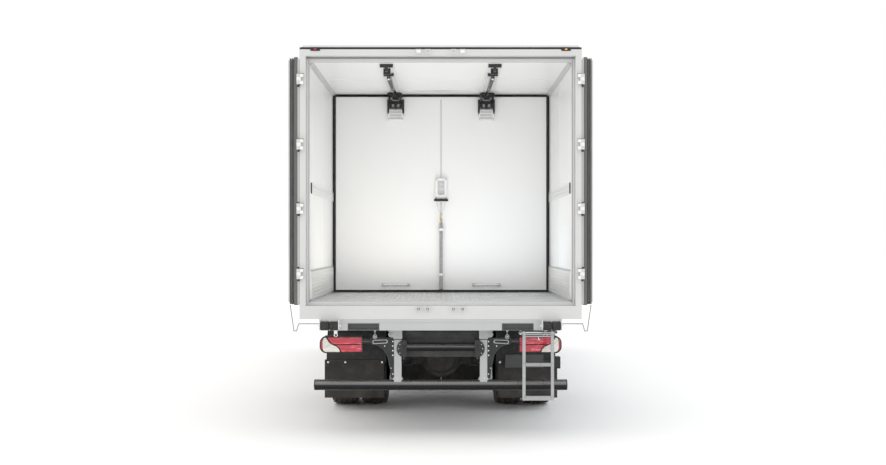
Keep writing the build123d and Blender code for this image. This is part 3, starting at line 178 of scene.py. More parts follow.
def finish_of(name, colour, rough=(0.35, 0.5), metal=0.0, cells=6.0, contrast=0.06, grain=None, dirt=None,
              coat=0.0, stretch=None, road=None):
    """A finish with colour variation, a roughness range, a fine bump and dirt.

    grain is (cells a metre, strength, height in metres); dirt is (colour, amount) in patches;
    road is (colour, amount, height) for dust that thickens towards the ground."""
    made, tree, shader = new_material(name)
    broad = noise(tree, cells, 4.0, stretch)
    base = ramp(tree, broad, [(0.3, shade(colour, 1 - contrast)), (0.7, shade(colour, 1 + contrast))])
    if dirt:
        patch = level(tree, noise(tree, cells * 2.7, 8.0), 0.0, dirt[1], 0.5, 0.75)
        base = blend_colours(tree, patch, base, dirt[0])
    if road:
        low = level(tree, axis_value(tree, "Z"), 1.0, 0.0, 0.1, road[2])
        cloud = level(tree, noise(tree, 9.0, 7.0), 0.25, 1.0, 0.35, 0.7)
        amount = combine(tree, "MULTIPLY", combine(tree, "MULTIPLY", low, cloud), road[1])
        base = blend_colours(tree, amount, base, road[0])
    link(tree, base, shader.inputs["Base Color"])
    link(tree, level(tree, noise(tree, cells * 5, 5.0, stretch), rough[0], rough[1]),
         shader.inputs["Roughness"])
    shader.inputs["Metallic"].default_value = metal
    shader.inputs["Coat Weight"].default_value = coat
    shader.inputs["Coat Roughness"].default_value = 0.08
    if grain:
        bump(tree, shader, noise(tree, grain[0], 3.0, stretch), grain[1], grain[2])
    return made


DUST = (0.30, 0.27, 0.23)
ROAD = (shade(DUST, 0.5), 0.45, 0.9)

gelcoat = finish_of("gelcoat_white", (0.80, 0.80, 0.795), (0.345, 0.355), cells=1.3, contrast=0.002)
panel_white = finish_of("panel_white_matt", (0.84, 0.84, 0.835), (0.40, 0.41), cells=0.9, contrast=0.002)
coving_grey = finish_of("coving_grey", (0.50, 0.495, 0.485), (0.42, 0.5), cells=3.0, contrast=0.02)
kick_metal = finish_of("aluminium_kick_plate", (0.80, 0.80, 0.79), (0.36, 0.50), metal=0.55, cells=8,
                       contrast=0.04, grain=(500, 0.06, 0.0003), stretch=(1, 0.1, 1))
lacquer = finish_of("lacquer_light_grey", (0.60, 0.60, 0.595), (0.30, 0.42), cells=2.5, contrast=0.03,
                    grain=(260, 0.06, 0.0004), coat=0.15)
beam_paint = finish_of("lacquer_mid_grey", (0.47, 0.475, 0.48), (0.32, 0.46), cells=3.0, contrast=0.03,
                       grain=(240, 0.06, 0.0003), coat=0.1)
white_plastic = finish_of("plastic_white", (0.82, 0.82, 0.81), (0.30, 0.42), cells=9, contrast=0.02,
                          grain=(600, 0.05, 0.0002), dirt=((0.55, 0.53, 0.50), 0.12))
pale_plastic = finish_of("plastic_pale_grey", (0.60, 0.61, 0.61), (0.34, 0.48), cells=7, contrast=0.03,
                         grain=(700, 0.06, 0.0002))
aluminium = finish_of("aluminium_mill", (0.62, 0.63, 0.64), (0.30, 0.44), metal=1.0, cells=7, contrast=0.04,
                      grain=(420, 0.06, 0.0003), stretch=(1, 0.12, 1))
deck_metal = finish_of("aluminium_deck", (0.60, 0.605, 0.61), (0.40, 0.58), metal=0.8, cells=5,
                       contrast=0.08, grain=(260, 0.12, 0.0004), dirt=((0.36, 0.34, 0.31), 0.4))
rail_metal = finish_of("aluminium_rail", (0.60, 0.60, 0.59), (0.34, 0.50), metal=0.9, cells=8, contrast=0.06,
                       grain=(500, 0.08, 0.0003), stretch=(1, 0.1, 1))
zinc = finish_of("zinc_plated", (0.42, 0.425, 0.43), (0.24, 0.42), metal=1.0, cells=30, contrast=0.14,
                 grain=(220, 0.1, 0.0003))
grey_steel = finish_of("steel_grey_paint", (0.48, 0.49, 0.50), (0.38, 0.55), cells=5, contrast=0.05,
                       grain=(180, 0.1, 0.0004), dirt=((0.28, 0.26, 0.23), 0.35))
arm_steel = finish_of("steel_dark_phosphate", (0.036, 0.037, 0.038), (0.34, 0.5), metal=0.4, cells=14,
                      contrast=0.2, grain=(240, 0.1, 0.0004))
chassis_paint = finish_of("chassis_black_paint", (0.022, 0.023, 0.025), (0.35, 0.6), cells=4, contrast=0.25,
                          grain=(150, 0.12, 0.0005), dirt=(shade(DUST, 0.35), 0.35), road=ROAD)
cast_iron = finish_of("cast_black", (0.020, 0.020, 0.021), (0.5, 0.75), cells=8, contrast=0.3,
                      grain=(260, 0.35, 0.0009), dirt=(shade(DUST, 0.4), 0.45), road=ROAD)
rubber = finish_of("rubber_black", (0.016, 0.016, 0.016), (0.55, 0.75), cells=12, contrast=0.3,
                   grain=(500, 0.15, 0.0004), dirt=(shade(DUST, 0.3), 0.3))
tyre_rubber = finish_of("rubber_tyre", (0.010, 0.0103, 0.0106), (0.58, 0.8), cells=10, contrast=0.3,
                        grain=(420, 0.2, 0.0005), dirt=(shade(DUST, 0.4), 0.35),
                        road=(shade(DUST, 0.6), 0.4, 0.5))
flap_rubber = finish_of("rubber_flap", (0.018, 0.0165, 0.015), (0.48, 0.66), cells=3, contrast=0.25,
                        grain=(900, 0.2, 0.0004), dirt=(shade(DUST, 0.4), 0.35),
                        road=(shade(DUST, 0.4), 0.3, 0.6))
# Grey of the door gaskets, also used as painted shade in the portal's rebate
gasket_grey_and_painted_shade = finish_of("gasket_grey_and_painted_shade", (0.24, 0.24, 0.24), (0.5, 0.65), cells=10, contrast=0.08,
                        grain=(700, 0.1, 0.0003))
black_plastic = finish_of("plastic_black", (0.018, 0.018, 0.019), (0.42, 0.58), cells=9, contrast=0.2,
                          grain=(1400, 0.25, 0.0002), dirt=(shade(DUST, 0.4), 0.2))


def painted_highlight_tube_finish(name, low, high):
    """Satin black tube metal with a painted highlight band along its upper side, darker towards the bottom:
    low and high in metres.
    """
    made, tree, shader = new_material(name)
    height = level(tree, axis_value(tree, "Z"), 0.0, 1.0, low, high)
    # Painted highlight: the pale band over the upper side stands in for the sky's reflection
    base = ramp(tree, height, [(0.0, (0.010, 0.010, 0.011)), (0.50, (0.030, 0.030, 0.031)),
                               (0.62, (0.20, 0.20, 0.20)), (0.86, (0.27, 0.268, 0.265)),
                               (1.0, (0.10, 0.10, 0.10))])
    cloud = level(tree, noise(tree, 5.0, 3.0, (0.3, 1, 1)), 0.9, 1.0)
    link(tree, blend_colours(tree, 1.0, base, cloud, "MULTIPLY"), shader.inputs["Base Color"])
    link(tree, level(tree, noise(tree, 20, 3.0), 0.26, 0.34), shader.inputs["Roughness"])
    shader.inputs["Metallic"].default_value = 0.85
    return made


tube_black = painted_highlight_tube_finish("tube_black_painted_highlight", 0.428, 0.531)
cross_black = painted_highlight_tube_finish("tube_cross_painted_highlight", 0.800, 0.870)
ladder_metal = finish_of("aluminium_ladder", (0.44, 0.445, 0.45), (0.26, 0.38), metal=1.0, cells=9,
                         contrast=0.05, grain=(500, 0.05, 0.0002))
# Dark grey of bare plates, also used as painted shade in the rear beam's recesses
dark_plate_and_painted_shade = finish_of("plate_dark_grey_and_painted_shade", (0.075, 0.077, 0.079), (0.4, 0.5), cells=5, contrast=0.06)
cab_paint = finish_of("cab_white_paint", (0.80, 0.81, 0.82), (0.16, 0.24), cells=1.1, contrast=0.012,
                      grain=(90, 0.02, 0.0005), coat=0.8, road=(shade(DUST, 1.2), 0.25, 1.4))
cab_grey = finish_of("cab_grey_plastic", (0.115, 0.118, 0.122), (0.42, 0.56), cells=5, contrast=0.08,
                     grain=(900, 0.2, 0.0003), road=(shade(DUST, 0.8), 0.4, 0.9))
trim_grey = finish_of("cab_trim_grey", (0.070, 0.072, 0.078), (0.5, 0.65), cells=6, contrast=0.12,
                      grain=(1100, 0.3, 0.0003))
dash_grey = finish_of("cab_dash_grey", (0.035, 0.036, 0.040), (0.5, 0.66), cells=6, contrast=0.15,
                      grain=(1500, 0.35, 0.0002))
wheel_paint = finish_of("wheel_silver_paint", (0.46, 0.47, 0.48), (0.30, 0.45), metal=0.6, cells=9,
                        contrast=0.06, grain=(300, 0.08, 0.0003), dirt=(shade(DUST, 0.6), 0.4))
bright = finish_of("bolt_bright", (0.80, 0.80, 0.79), (0.16, 0.3), metal=1.0, cells=40, contrast=0.1,
                   dirt=((0.4, 0.37, 0.33), 0.3))
gold = finish_of("zinc_yellow", (0.62, 0.45, 0.20), (0.25, 0.4), metal=1.0, cells=60, contrast=0.2)
edge_dark = finish_of("edge_anodised_dark", (0.15, 0.145, 0.14), (0.35, 0.5), metal=0.4, cells=5,
                      contrast=0.1, stretch=(1, 1, 0.1), grain=(300, 0.06, 0.0003))


def clear_finish(name, colour, rough, transmission):
    made, tree, shader = new_material(name)
    tone = ramp(tree, noise(tree, 3.0), [(0.2, shade(colour, 0.96)), (0.8, colour)])
    link(tree, tone, shader.inputs["Base Color"])
    link(tree, level(tree, noise(tree, 14), rough, rough * 2.5), shader.inputs["Roughness"])
    shader.inputs["Transmission Weight"].default_value = transmission
    shader.inputs["IOR"].default_value = 1.5
    return made


def lens_finish(name, deep, pale):
    """Moulded lamp plastic: a grid of small prisms under a smooth skin, with pale streaks painted in as the
    reflection of a bright reflector behind it.
    """
    made, tree, shader = new_material(name)
    cell = 0.009
    wave = tree.nodes.new("ShaderNodeTexVoronoi")
    wave.inputs["Scale"].default_value = 1 / cell
    wave.inputs["Randomness"].default_value = 0.0
    link(tree, place(tree), wave.inputs["Vector"])
    painted_reflection_streak = noise(tree, 22.0, 4.0, (0.5, 1.0, 3.0))
    # Painted reflection: the pale streaks stand in for the reflector behind the lens
    base = ramp(tree, painted_reflection_streak, [(0.35, deep), (0.56, shade(deep, 1.25)), (0.70, pale)])
    link(tree, base, shader.inputs["Base Color"])
    link(tree, level(tree, noise(tree, 30), 0.08, 0.16), shader.inputs["Roughness"])
    shader.inputs["Coat Weight"].default_value = 0.9
    shader.inputs["Coat Roughness"].default_value = 0.04
    bump(tree, shader, wave.outputs["Distance"], 0.35, 0.0015)
    return made


glass = clear_finish("glass_tinted", (0.72, 0.80, 0.78), 0.02, 0.92)
clear_lens = clear_finish("lens_clear", (0.95, 0.96, 0.97), 0.015, 0.95)
red_lens = lens_finish("lens_red", (0.50, 0.012, 0.035), (0.80, 0.20, 0.26))
milk_lens = lens_finish("lens_milk", (0.66, 0.63, 0.57), (0.86, 0.84, 0.80))
amber_lens = lens_finish("lens_amber", (0.78, 0.26, 0.02), (0.95, 0.50, 0.12))
mirror_glass = finish_of("mirror_silver", (0.90, 0.91, 0.92), (0.02, 0.05), metal=1.0, cells=3,
                         contrast=0.01)
reflector = finish_of("reflector_chrome", (0.85, 0.86, 0.87), (0.05, 0.12), metal=1.0, cells=20,
                      contrast=0.03)


def weave_finish(name, warp, weft):
    """A woven seat cloth: crossed threads, a fleck of a second colour and a soft sheen."""
    made, tree, shader = new_material(name)
    pitch = 0.0012
    threads = None
    for stretch in ((1, 0, 0), (0, 1, 1)):
        wave = tree.nodes.new("ShaderNodeTexWave")
        wave.inputs["Scale"].default_value = 0.3 / pitch
        wave.inputs["Distortion"].default_value = 0.6
        link(tree, scaled(tree, stretch), wave.inputs["Vector"])
        threads = wave.outputs["Fac"] if threads is None else combine(tree, "MAXIMUM", threads,
                                                                      wave.outputs["Fac"])
    fleck = noise(tree, 420, 2.0)
    base = blend_colours(tree, level(tree, fleck, 0.0, 0.7, 0.45, 0.6), warp, weft)
    broad = level(tree, noise(tree, 5, 4.0), 0.82, 1.1)
    tone = tree.nodes.new("ShaderNodeMix")
    tone.data_type = "RGBA"
    tone.blend_type = "MULTIPLY"
    tone.inputs[0].default_value = 1.0
    link(tree, base, tone.inputs[6])
    link(tree, broad, tone.inputs[7])
    link(tree, tone.outputs[2], shader.inputs["Base Color"])
    link(tree, level(tree, threads, 0.75, 0.92, 0.0, 1.0), shader.inputs["Roughness"])
    shader.inputs["Sheen Weight"].default_value = 0.35
    shader.inputs["Sheen Roughness"].default_value = 0.4
    bump(tree, shader, threads, 0.5, 0.0006)
    return made


seat_cloth = weave_finish("seat_cloth_grey", (0.060, 0.064, 0.075), (0.15, 0.155, 0.17))
seat_side = weave_finish("seat_cloth_dark", (0.022, 0.023, 0.026), (0.045, 0.046, 0.05))

# CAD slot to finish
SLOTS = {"body_panel": gelcoat, "portal_steel": lacquer, "floor_metal": deck_metal, "rail_metal": rail_metal,
         "bright_aluminium": aluminium, "grey_steel": grey_steel, "chassis_paint": chassis_paint,
         "cast_black": cast_iron, "black_plastic": black_plastic, "flap_rubber": flap_rubber,
         "lamp_red": black_plastic, "lamp_clear": clear_lens, "cab_paint": cab_paint, "cab_trim": trim_grey,
         "seat_fabric": trim_grey, "window_glass": glass, "wheel_steel": wheel_paint,
         "tyre_rubber": tyre_rubber, "zinc_wire": zinc, "bumper_paint": cab_paint,}


# Mesh kit, in millimetres in the truck's frame

# Carries a drawn point to a place along an axis: it is drawn as (y, z) for x, (x, z) for y and (x, y) for z
ALONG = {"x": lambda a, p: (a, p[0], p[1]), "y": lambda a, p: (p[0], a, p[1]), "z": lambda a,
         p: (p[0], p[1], a)}


def corners(x0, x1, z0, z1):
    """The four corners of a rectangle."""
    return [(x0, z0), (x1, z0), (x1, z1), (x0, z1)]


class Form:
    """A mesh being made, with a finish for each face."""

    def __init__(self, finish):
        self.verts = []
        self.faces = []
        self.slots = []
        self.finishes = []
        self.use(finish)

    def use(self, finish):
        if finish not in self.finishes:
            self.finishes.append(finish)
        self.slot = self.finishes.index(finish)
        return self

    def add(self, verts, faces):
        start = len(self.verts)
        self.verts.extend(tuple(v) for v in verts)
        self.faces.extend(tuple(start + i for i in face) for face in faces)
        self.slots.extend([self.slot] * len(faces))

    def box(self, x, y, z):
        (x0, x1), (y0, y1), (z0, z1) = sorted(x), sorted(y), sorted(z)
        verts = [(a, b, c) for c in (z0, z1) for b in (y0, y1) for a in (x0, x1)]
        self.add(verts, [(0, 2, 3, 1), (4, 5, 7, 6), (0, 1, 5, 4), (1, 3, 7, 5), (3, 2, 6, 7),
                         (2, 0, 4, 6)])

    def prism(self, points, span, axis):
        """An outline carried along an axis."""
        count = len(points)
        verts = [ALONG[axis](a, p) for a in span for p in points]
        faces = [tuple(range(count)), tuple(range(2 * count - 1, count - 1, -1))]
        faces += [(i, (i + 1) % count, count + (i + 1) % count, count + i) for i in range(count)]
        self.add(verts, faces)

    def picture_frame(self, outer, inner, span, axis):
        """A rectangular ring with mitred corners: outer and inner are (low, high, low, high)."""
        self.band(corners(*outer), corners(*inner), span, ALONG[axis])

    def band(self, outer, inner, span, place_at):
        """The band between two outlines of as many points: place_at(end, point) sets each point."""
        count = len(outer)
        verts = [place_at(a, p) for a in span for p in outer + inner]
        faces = []
        for i in range(count):
            j = (i + 1) % count
            faces += [(i, j, count + j, count + i),
                      (2 * count + j, 2 * count + i, 3 * count + i, 3 * count + j),
                      (i, 2 * count + i, 2 * count + j, j),
                      (count + j, 3 * count + j, 3 * count + i, count + i)]
        self.add(verts, faces)

    def tube(self, points, radius, sides=10, closed=False):
        """A round bar along points; radius may be one number or one for each point."""
        path = [Vector(p) for p in points]
        count = len(path)
        radii = radius if isinstance(radius, (list, tuple)) else [radius] * count
        way = (path[1] - path[0]).normalized()
        normal = way.orthogonal().normalized()
        rings = []
        for i, point in enumerate(path):
            before = path[i] - path[i - 1] if i or closed else path[1] - path[0]
            after = path[(i + 1) % count] - path[i] if i < count - 1 or closed else path[-1] - path[-2]
            before, after = before.normalized(), after.normalized()
            here = (before + after).normalized()
            normal = (normal - here * normal.dot(here)).normalized()
            side = here.cross(normal)
            stretch = 1 / max(0.5, here.dot(after))
            ring = []
            for k in range(sides):
                angle = 2 * math.pi * k / sides
                out = normal * math.cos(angle) + side * math.sin(angle)
                bend = (after - before)
                if bend.length > 1e-6:
                    bend = bend.normalized()
                    out = out + bend * out.dot(bend) * (stretch - 1)
                ring.append(point + out * radii[i])
            rings.append(ring)
        verts = [v for ring in rings for v in ring]
        faces = []
        for i in range(count if closed else count - 1):
            a, b = i * sides, ((i + 1) % count) * sides
            faces += [(a + k, a + (k + 1) % sides, b + (k + 1) % sides, b + k) for k in range(sides)]
        if not closed:
            faces += [tuple(range(sides)), tuple((count - 1) * sides + k for k in range(sides))]
        self.add(verts, faces)

    def rod(self, start, end, radius, sides=20, far=None):
        self.tube([start, end], [radius, radius if far is None else far], sides)

    def lathe(self, profile, centre, axis, steps=48, closed=False, shift=None):
        """A profile of (place along the axis, radius) turned about it.

        shift(step, along, radius) may move a point. A closed profile joins its last point to its first; an
        open one is capped at each end that lies off the axis."""
        number = "xyz".index(axis)
        first, second = [i for i in range(3) if i != number]
        count = len(profile)
        verts = []
        for step in range(steps):
            angle = 2 * math.pi * step / steps
            for along, radius in profile:
                if shift:
                    along, radius = shift(step, along, radius)
                v = [0.0, 0.0, 0.0]
                v[number] = centre[number] + along
                v[first] = centre[first] + radius * math.cos(angle)
                v[second] = centre[second] + radius * math.sin(angle)
                verts.append(v)
        faces = []
        for step in range(steps):
            a, b = step * count, ((step + 1) % steps) * count
            for i in range(count if closed else count - 1):
                j = (i + 1) % count
                faces.append((a + i, b + i, b + j, a + j))
        if not closed:
            for i in (0, count - 1):
                if profile[i][1] > 0.01:
                    faces.append(tuple(step * count + i for step in range(steps)))
        self.add(verts, faces)

    def bolt(self, at, axis, way=1, size=8, washer=True, height=None):
        """A hexagon head with its washer, standing out from a face along way."""
        tall = height or size * 0.62
        base = 0.0
        if washer:
            self.lathe([(0, 0.01), (0, size * 1.02), (way * size * 0.16, size * 1.02),
                        (way * size * 0.16, 0.01)], at, axis, 16)
            base = size * 0.16
        self.lathe([(way * base, size * 0.86), (way * (base + tall * 0.8), size * 0.86),
                    (way * (base + tall), size * 0.66)], at, axis, 6)

    def nut(self, at, axis, way, size):
        self.bolt(at, axis, way, size, True, size * 0.8)
        self.lathe([(0, size * 0.45), (way * size * 1.35, size * 0.45), (way * size * 1.42, size * 0.36)],
                   at, axis, 10)

    def moved(self, change):
        self.verts = [tuple(change(*v)) for v in self.verts]
        return self

    def both_sides(self):
        """Adds the mirror image of all that is there so far."""
        start = len(self.verts)
        self.verts += [(-x, y, z) for x, y, z in self.verts]
        self.faces += [tuple(start + i for i in reversed(face)) for face in self.faces]
        self.slots += list(self.slots)
        return self

    def make(self, name, body="chassis", bevel=1.2, segments=2, angle=32, replaces=()):
        mesh = bpy.data.meshes.new(name)
        mesh.from_pydata([(x * MM, y * MM, z * MM) for x, y, z in self.verts], [], self.faces)
        for finish in self.finishes:
            mesh.materials.append(finish)
        for polygon, slot in zip(mesh.polygons, self.slots):
            polygon.material_index = slot
            polygon.use_smooth = True
        work = bmesh.new()
        work.from_mesh(mesh)
        bmesh.ops.remove_doubles(work, verts=work.verts, dist=1e-6)
        bmesh.ops.dissolve_degenerate(work, edges=work.edges, dist=1e-6)
        bmesh.ops.recalc_face_normals(work, faces=work.faces)
        work.to_mesh(mesh)
        work.free()
        mesh.set_sharp_from_angle(angle=math.radians(angle))
        piece = bpy.data.objects.new(name, mesh)
        bpy.context.scene.collection.objects.link(piece)
        if bevel:
            edge = piece.modifiers.new("edge", "BEVEL")
            edge.width = bevel * MM
            edge.segments = segments
            edge.limit_method = "ANGLE"
            edge.angle_limit = math.radians(angle)
            edge.harden_normals = True
        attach(piece, body)
        if replaces:
            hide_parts(*replaces)
        return piece


def arc(centre, radius, start, end, steps=6):
    """Points along an arc in degrees."""
    return [(centre[0] + radius * math.cos(math.radians(start + (end - start) * i / steps)),
             centre[1] + radius * math.sin(math.radians(start + (end - start) * i / steps)))
            for i in range(steps + 1)]


def rounded(points, radii, steps=4):
    """A polygon with its corners rounded: radii is one number or one for each corner."""
    result = []
    count = len(points)
    for i, point in enumerate(points):
        radius = radii[i] if isinstance(radii, (list, tuple)) else radii
        here = Vector(point)
        back = (Vector(points[i - 1]) - here)
        ahead = (Vector(points[(i + 1) % count]) - here)
        if not radius:
            result.append(tuple(here))
            continue
        half = back.angle(ahead) / 2
        reach = min(radius / math.tan(half), back.length * 0.49, ahead.length * 0.49)
        a = here + back.normalized() * reach
        b = here + ahead.normalized() * reach
        for k in range(steps + 1):
            t = k / steps
            result.append(tuple(a * (1 - t) ** 2 + here * 2 * t * (1 - t) * 0.98 + b * t ** 2
                                + here * 0.04 * t * (1 - t)))
    return result


def dress_cad():
    """Every CAD node gets its finish and a fine bevel that catches the light along its edges."""
    wide = {"cab_shell": 6, "front_bumper": 6, "fridge_unit": 5, "tanks": 3, "rear_portal": 3,
            "chassis_frame": 3, "engine_gearbox": 6, "side_boxes": 3, "cab_door_left": 4,
            "cab_door_right": 4, "side_guards": 4}
    for part in frame["record"]["subparts"]:
        shown = nodes[part["node"]]
        shown.data.materials.clear()
        shown.data.materials.append(SLOTS[part["material_slot"]])
        for polygon in shown.data.polygons:
            polygon.use_smooth = True
        shown.data.set_sharp_from_angle(angle=math.radians(32))
        edge = shown.modifiers.new("edge", "BEVEL")
        edge.width = wide.get(part["node"], 1.5) * MM
        edge.segments = 2
        edge.limit_method = "ANGLE"
        edge.angle_limit = math.radians(32)
        edge.harden_normals = True


def repaint(finish, *names):
    for name in names:
        nodes[name].data.materials[0] = finish


dress_cad()
repaint(beam_paint, "box_subframe", "underrun_posts")
repaint(tube_black, "underrun_bar")
repaint(cross_black, "rear_cross_tube")
repaint(panel_white, "bulkhead_panel", "box_front")
repaint(kick_metal, "load_rails")


# Rear portal

def portal_trim():
    form = Form(rubber)
    # A black strip in the groove, painted shade under the roof cap's lip, and grey strips on the stop,
    # painted shade of the rebate
    form.box((-1299, 1299), (REAR_Y + 4, REAR_Y + 9), (3608.5, 3627.5))
    form.use(lacquer)
    stop = REAR_Y + 90
    form.picture_frame((-1243, 1243, 1246, 3548), (-1226, 1226, 1270, 3530), (stop - 7, stop), "y")
    # Painted shade: the grey strips under the header and down the posts stand in for the rebate's shadow
    form.use(gasket_grey_and_painted_shade)
    form.box((-1242, 1242), (stop - 16, stop), (3534, 3548))
    form.box((-1226, -1222), (stop - 6, stop), (1270, 3530))
    form.box((1222, 1226), (stop - 6, stop), (1270, 3530))
    form.use(aluminium)
    # Threshold strip with its turned-down edge
    form.box((-1218, 1218), (REAR_Y + 92, REAR_Y + 128), (FLOOR_Z, FLOOR_Z + 3))
    form.box((-1218, 1218), (REAR_Y + 88, REAR_Y + 92), (FLOOR_Z - 24, FLOOR_Z + 3))
    form.use(lacquer)
    # Weld beads in the portal's corners
    for side in (-1, 1):
        for z in (1245, 3549):
            form.tube([(side * 1243, REAR_Y + 1, z), (side * 1300, REAR_Y + 1, z)], 2.5, 8)
    form.make("portal_trim", bevel=0.8)

    lugs = Form(bright)
    for side in (-1, 1):
        for z in HINGE_Z:
            for dz in (-37, 37):
                lugs.bolt((side * 1272, HINGE_Y + 2, z + dz), "y", -1, 7)
        for z in (SILL_KEEPER_Z, HEADER_KEEPER_Z):
            for x in KEEPER_X:
                lugs.bolt((side * x, REAR_Y - 18, z + 12), "y", -1, 4.5, False)
                lugs.bolt((side * x, REAR_Y - 18, z - 12), "y", -1, 4.5, False)
    # Square white cover over each hinge, a dark cap on top and the knob of its pin below
    lugs.use(white_plastic)
    for side in (-1, 1):
        for z in HINGE_Z:
            for low, high in ((z - 47, z - 18), (z + 18, z + 47)):
                lugs.box((side * 1262, side * (HINGE_X + 11)), (HINGE_Y - 15, HINGE_Y + 2), (low, high))
    lugs.use(black_plastic)
    for side in (-1, 1):
        for z in HINGE_Z:
            lugs.box((side * 1258, side * (HINGE_X + 13)), (HINGE_Y - 16, HINGE_Y + 2), (z + 47, z + 51))
            lugs.lathe([(0, 8), (-7, 8), (-9, 11), (-17, 11), (-20, 7)], (side * HINGE_X, HINGE_Y, z - 47.5),
                       "z", 20)
    lugs.use(ladder_metal)
    for side in (-1, 1):
        # A pair of looped ears on the sill, a ring and a block on the header
        for x in KEEPER_X:
            lugs.lathe([(-14, 4), (-18, 7), (-18, 14), (-14, 17), (-3, 17), (-1, 10)],
                       (side * x, REAR_Y, SILL_KEEPER_Z), "y", 24)
        lugs.lathe([(-14, 3), (-18, 5), (-18, 9), (-14, 11), (-3, 11), (-1, 7)],
                   (side * KEEPER_X[0], REAR_Y, HEADER_KEEPER_Z), "y", 20)
    lugs.use(white_plastic)
    for side in (-1, 1):
        lugs.box((side * 184, side * 221), (REAR_Y - 19, REAR_Y - 1), (3573, 3601))
    lugs.make("portal_bolts", bevel=0.5, segments=1)

    lamps = Form(black_plastic)
    for side, finish in ((-1, red_lens), (1, amber_lens)):
        x = side * 1155
        lamps.use(black_plastic)
        base = rounded(corners(x - 46, x + 46, 3593, 3621), 12)
        lamps.prism(base, (REAR_Y - 6, REAR_Y + 2), "y")
        for end in (-1, 1):
            at = x + end * 28
            pod = rounded(corners(at - 9, at + 9, 3599, 3614), 6)
            lamps.prism(pod, (REAR_Y - 11, REAR_Y - 4), "y")
        lamps.use(finish)
        pod = rounded(corners(x - 12, x + 12, 3600, 3613), 6)
        lamps.prism(pod, (REAR_Y - 17, REAR_Y - 4), "y")
    lamps.make("marker_lamps_rear", bevel=2.5, segments=3)


def opened(side):
    """Carries a point of a closed rear door to its place on the opened one."""
    return lambda x, y, z: (side * (HINGE_X + y - HINGE_Y), HINGE_Y + HINGE_X - x, z)


def rear_door_trim(side, word):
    """Edge profile, gasket lips, inner frame, scuff plate, hinge bolts and lock fittings, drawn closed."""
    near, far, low, high = 3, 1238, 1251, 3543
    body = f"rear_door_{word}"
    turn = opened(side)
    frame_form = Form(edge_dark)
    frame_form.picture_frame((near - 1, far + 1, low - 1, high + 1),
                             (near + 22, far - 22, low + 22, high - 22), (REAR_Y - 1, REAR_Y + 31), "y")
    frame_form.use(aluminium)
    inner = REAR_Y + 86
    frame_form.picture_frame((near + 24.5, far - 24.5, low + 24.5, high - 24.5),
                             (near + 62, far - 62, low + 62, high - 62), (inner - 12, inner + 1.5), "y")
    frame_form.use(deck_metal)
    frame_form.box((near + 64, far - 64), (inner - 2, inner + 2), (low + 64, low + 330))
    for row in range(6):
        z = low + 88 + row * 40
        for column in range(14):
            x = near + 90 + column * 76 + (38 if row % 2 else 0)
            if x + 46 < far - 80:
                frame_form.box((x, x + 46), (inner + 1, inner + 3.5), (z, z + 9))
    # Pale flange towards the body along the hinge edge, between the hinges
    frame_form.use(lacquer)
    ends = [low + 10] + [z + way * 62 for z in HINGE_Z for way in (-1, 1)] + [high - 10]
    for start, end in zip(ends[::2], ends[1::2]):
        frame_form.box((far - 5, far - 1), (REAR_Y - 16, REAR_Y + 2), (start, end))
    frame_form.use(zinc)
    for z in (low + 95, 1900, 2420, 2940, high - 95):
        for x in (near + 43, far - 43):
            frame_form.bolt((x, inner + 1.5, z), "y", 1, 5, False, 2.4)
    frame_form.moved(turn).make(f"door_frame_{word}", body, 0.9)

    seal = Form(rubber)
    for depth, reach, finish in ((33, 17, rubber), (41, 8, gasket_grey_and_painted_shade), (49, 20, rubber),
                                 (59, 10, gasket_grey_and_painted_shade), (67, 18, rubber)):
        seal.use(finish)
        a = 25 - reach
        seal.picture_frame((near + a, far - a, low + a, high - a),
                           (near + 27, far - 27, low + 27, high - 27),
                           (REAR_Y + depth, REAR_Y + depth + (5 if finish is rubber else 7)), "y")
    seal.moved(turn).make(f"door_gasket_{word}", body, 1.2)

    fittings = Form(bright)
    for z in HINGE_Z:
        for x in (1075, 1130, 1185, 1215):
            for dz in (-34, 34):
                fittings.bolt((x, REAR_Y - 15, z + dz), "y", -1, 4.2, False, 2.2)
    fittings.use(zinc)
    for z in (1203, 3600):
        way = 1 if z < 2000 else -1
        fittings.prism([(151, z), (171, z), (171, z + way * 26), (161, z + way * 34), (151, z + way * 26)],
                       (REAR_Y - 17, REAR_Y - 3), "y")
    for z in (1300, 2020, 2800, 3490):
        for x in (130, 192):
            fittings.bolt((x, REAR_Y - 17, z), "y", -1, 4.2, False, 2.0)
    fittings.use(black_plastic)
    fittings.box((500, 572), (REAR_Y - 18, REAR_Y - 15), (2008, 2032))
    fittings.moved(turn).make(f"door_fittings_{word}", body, 0.6, 1)


# Load space

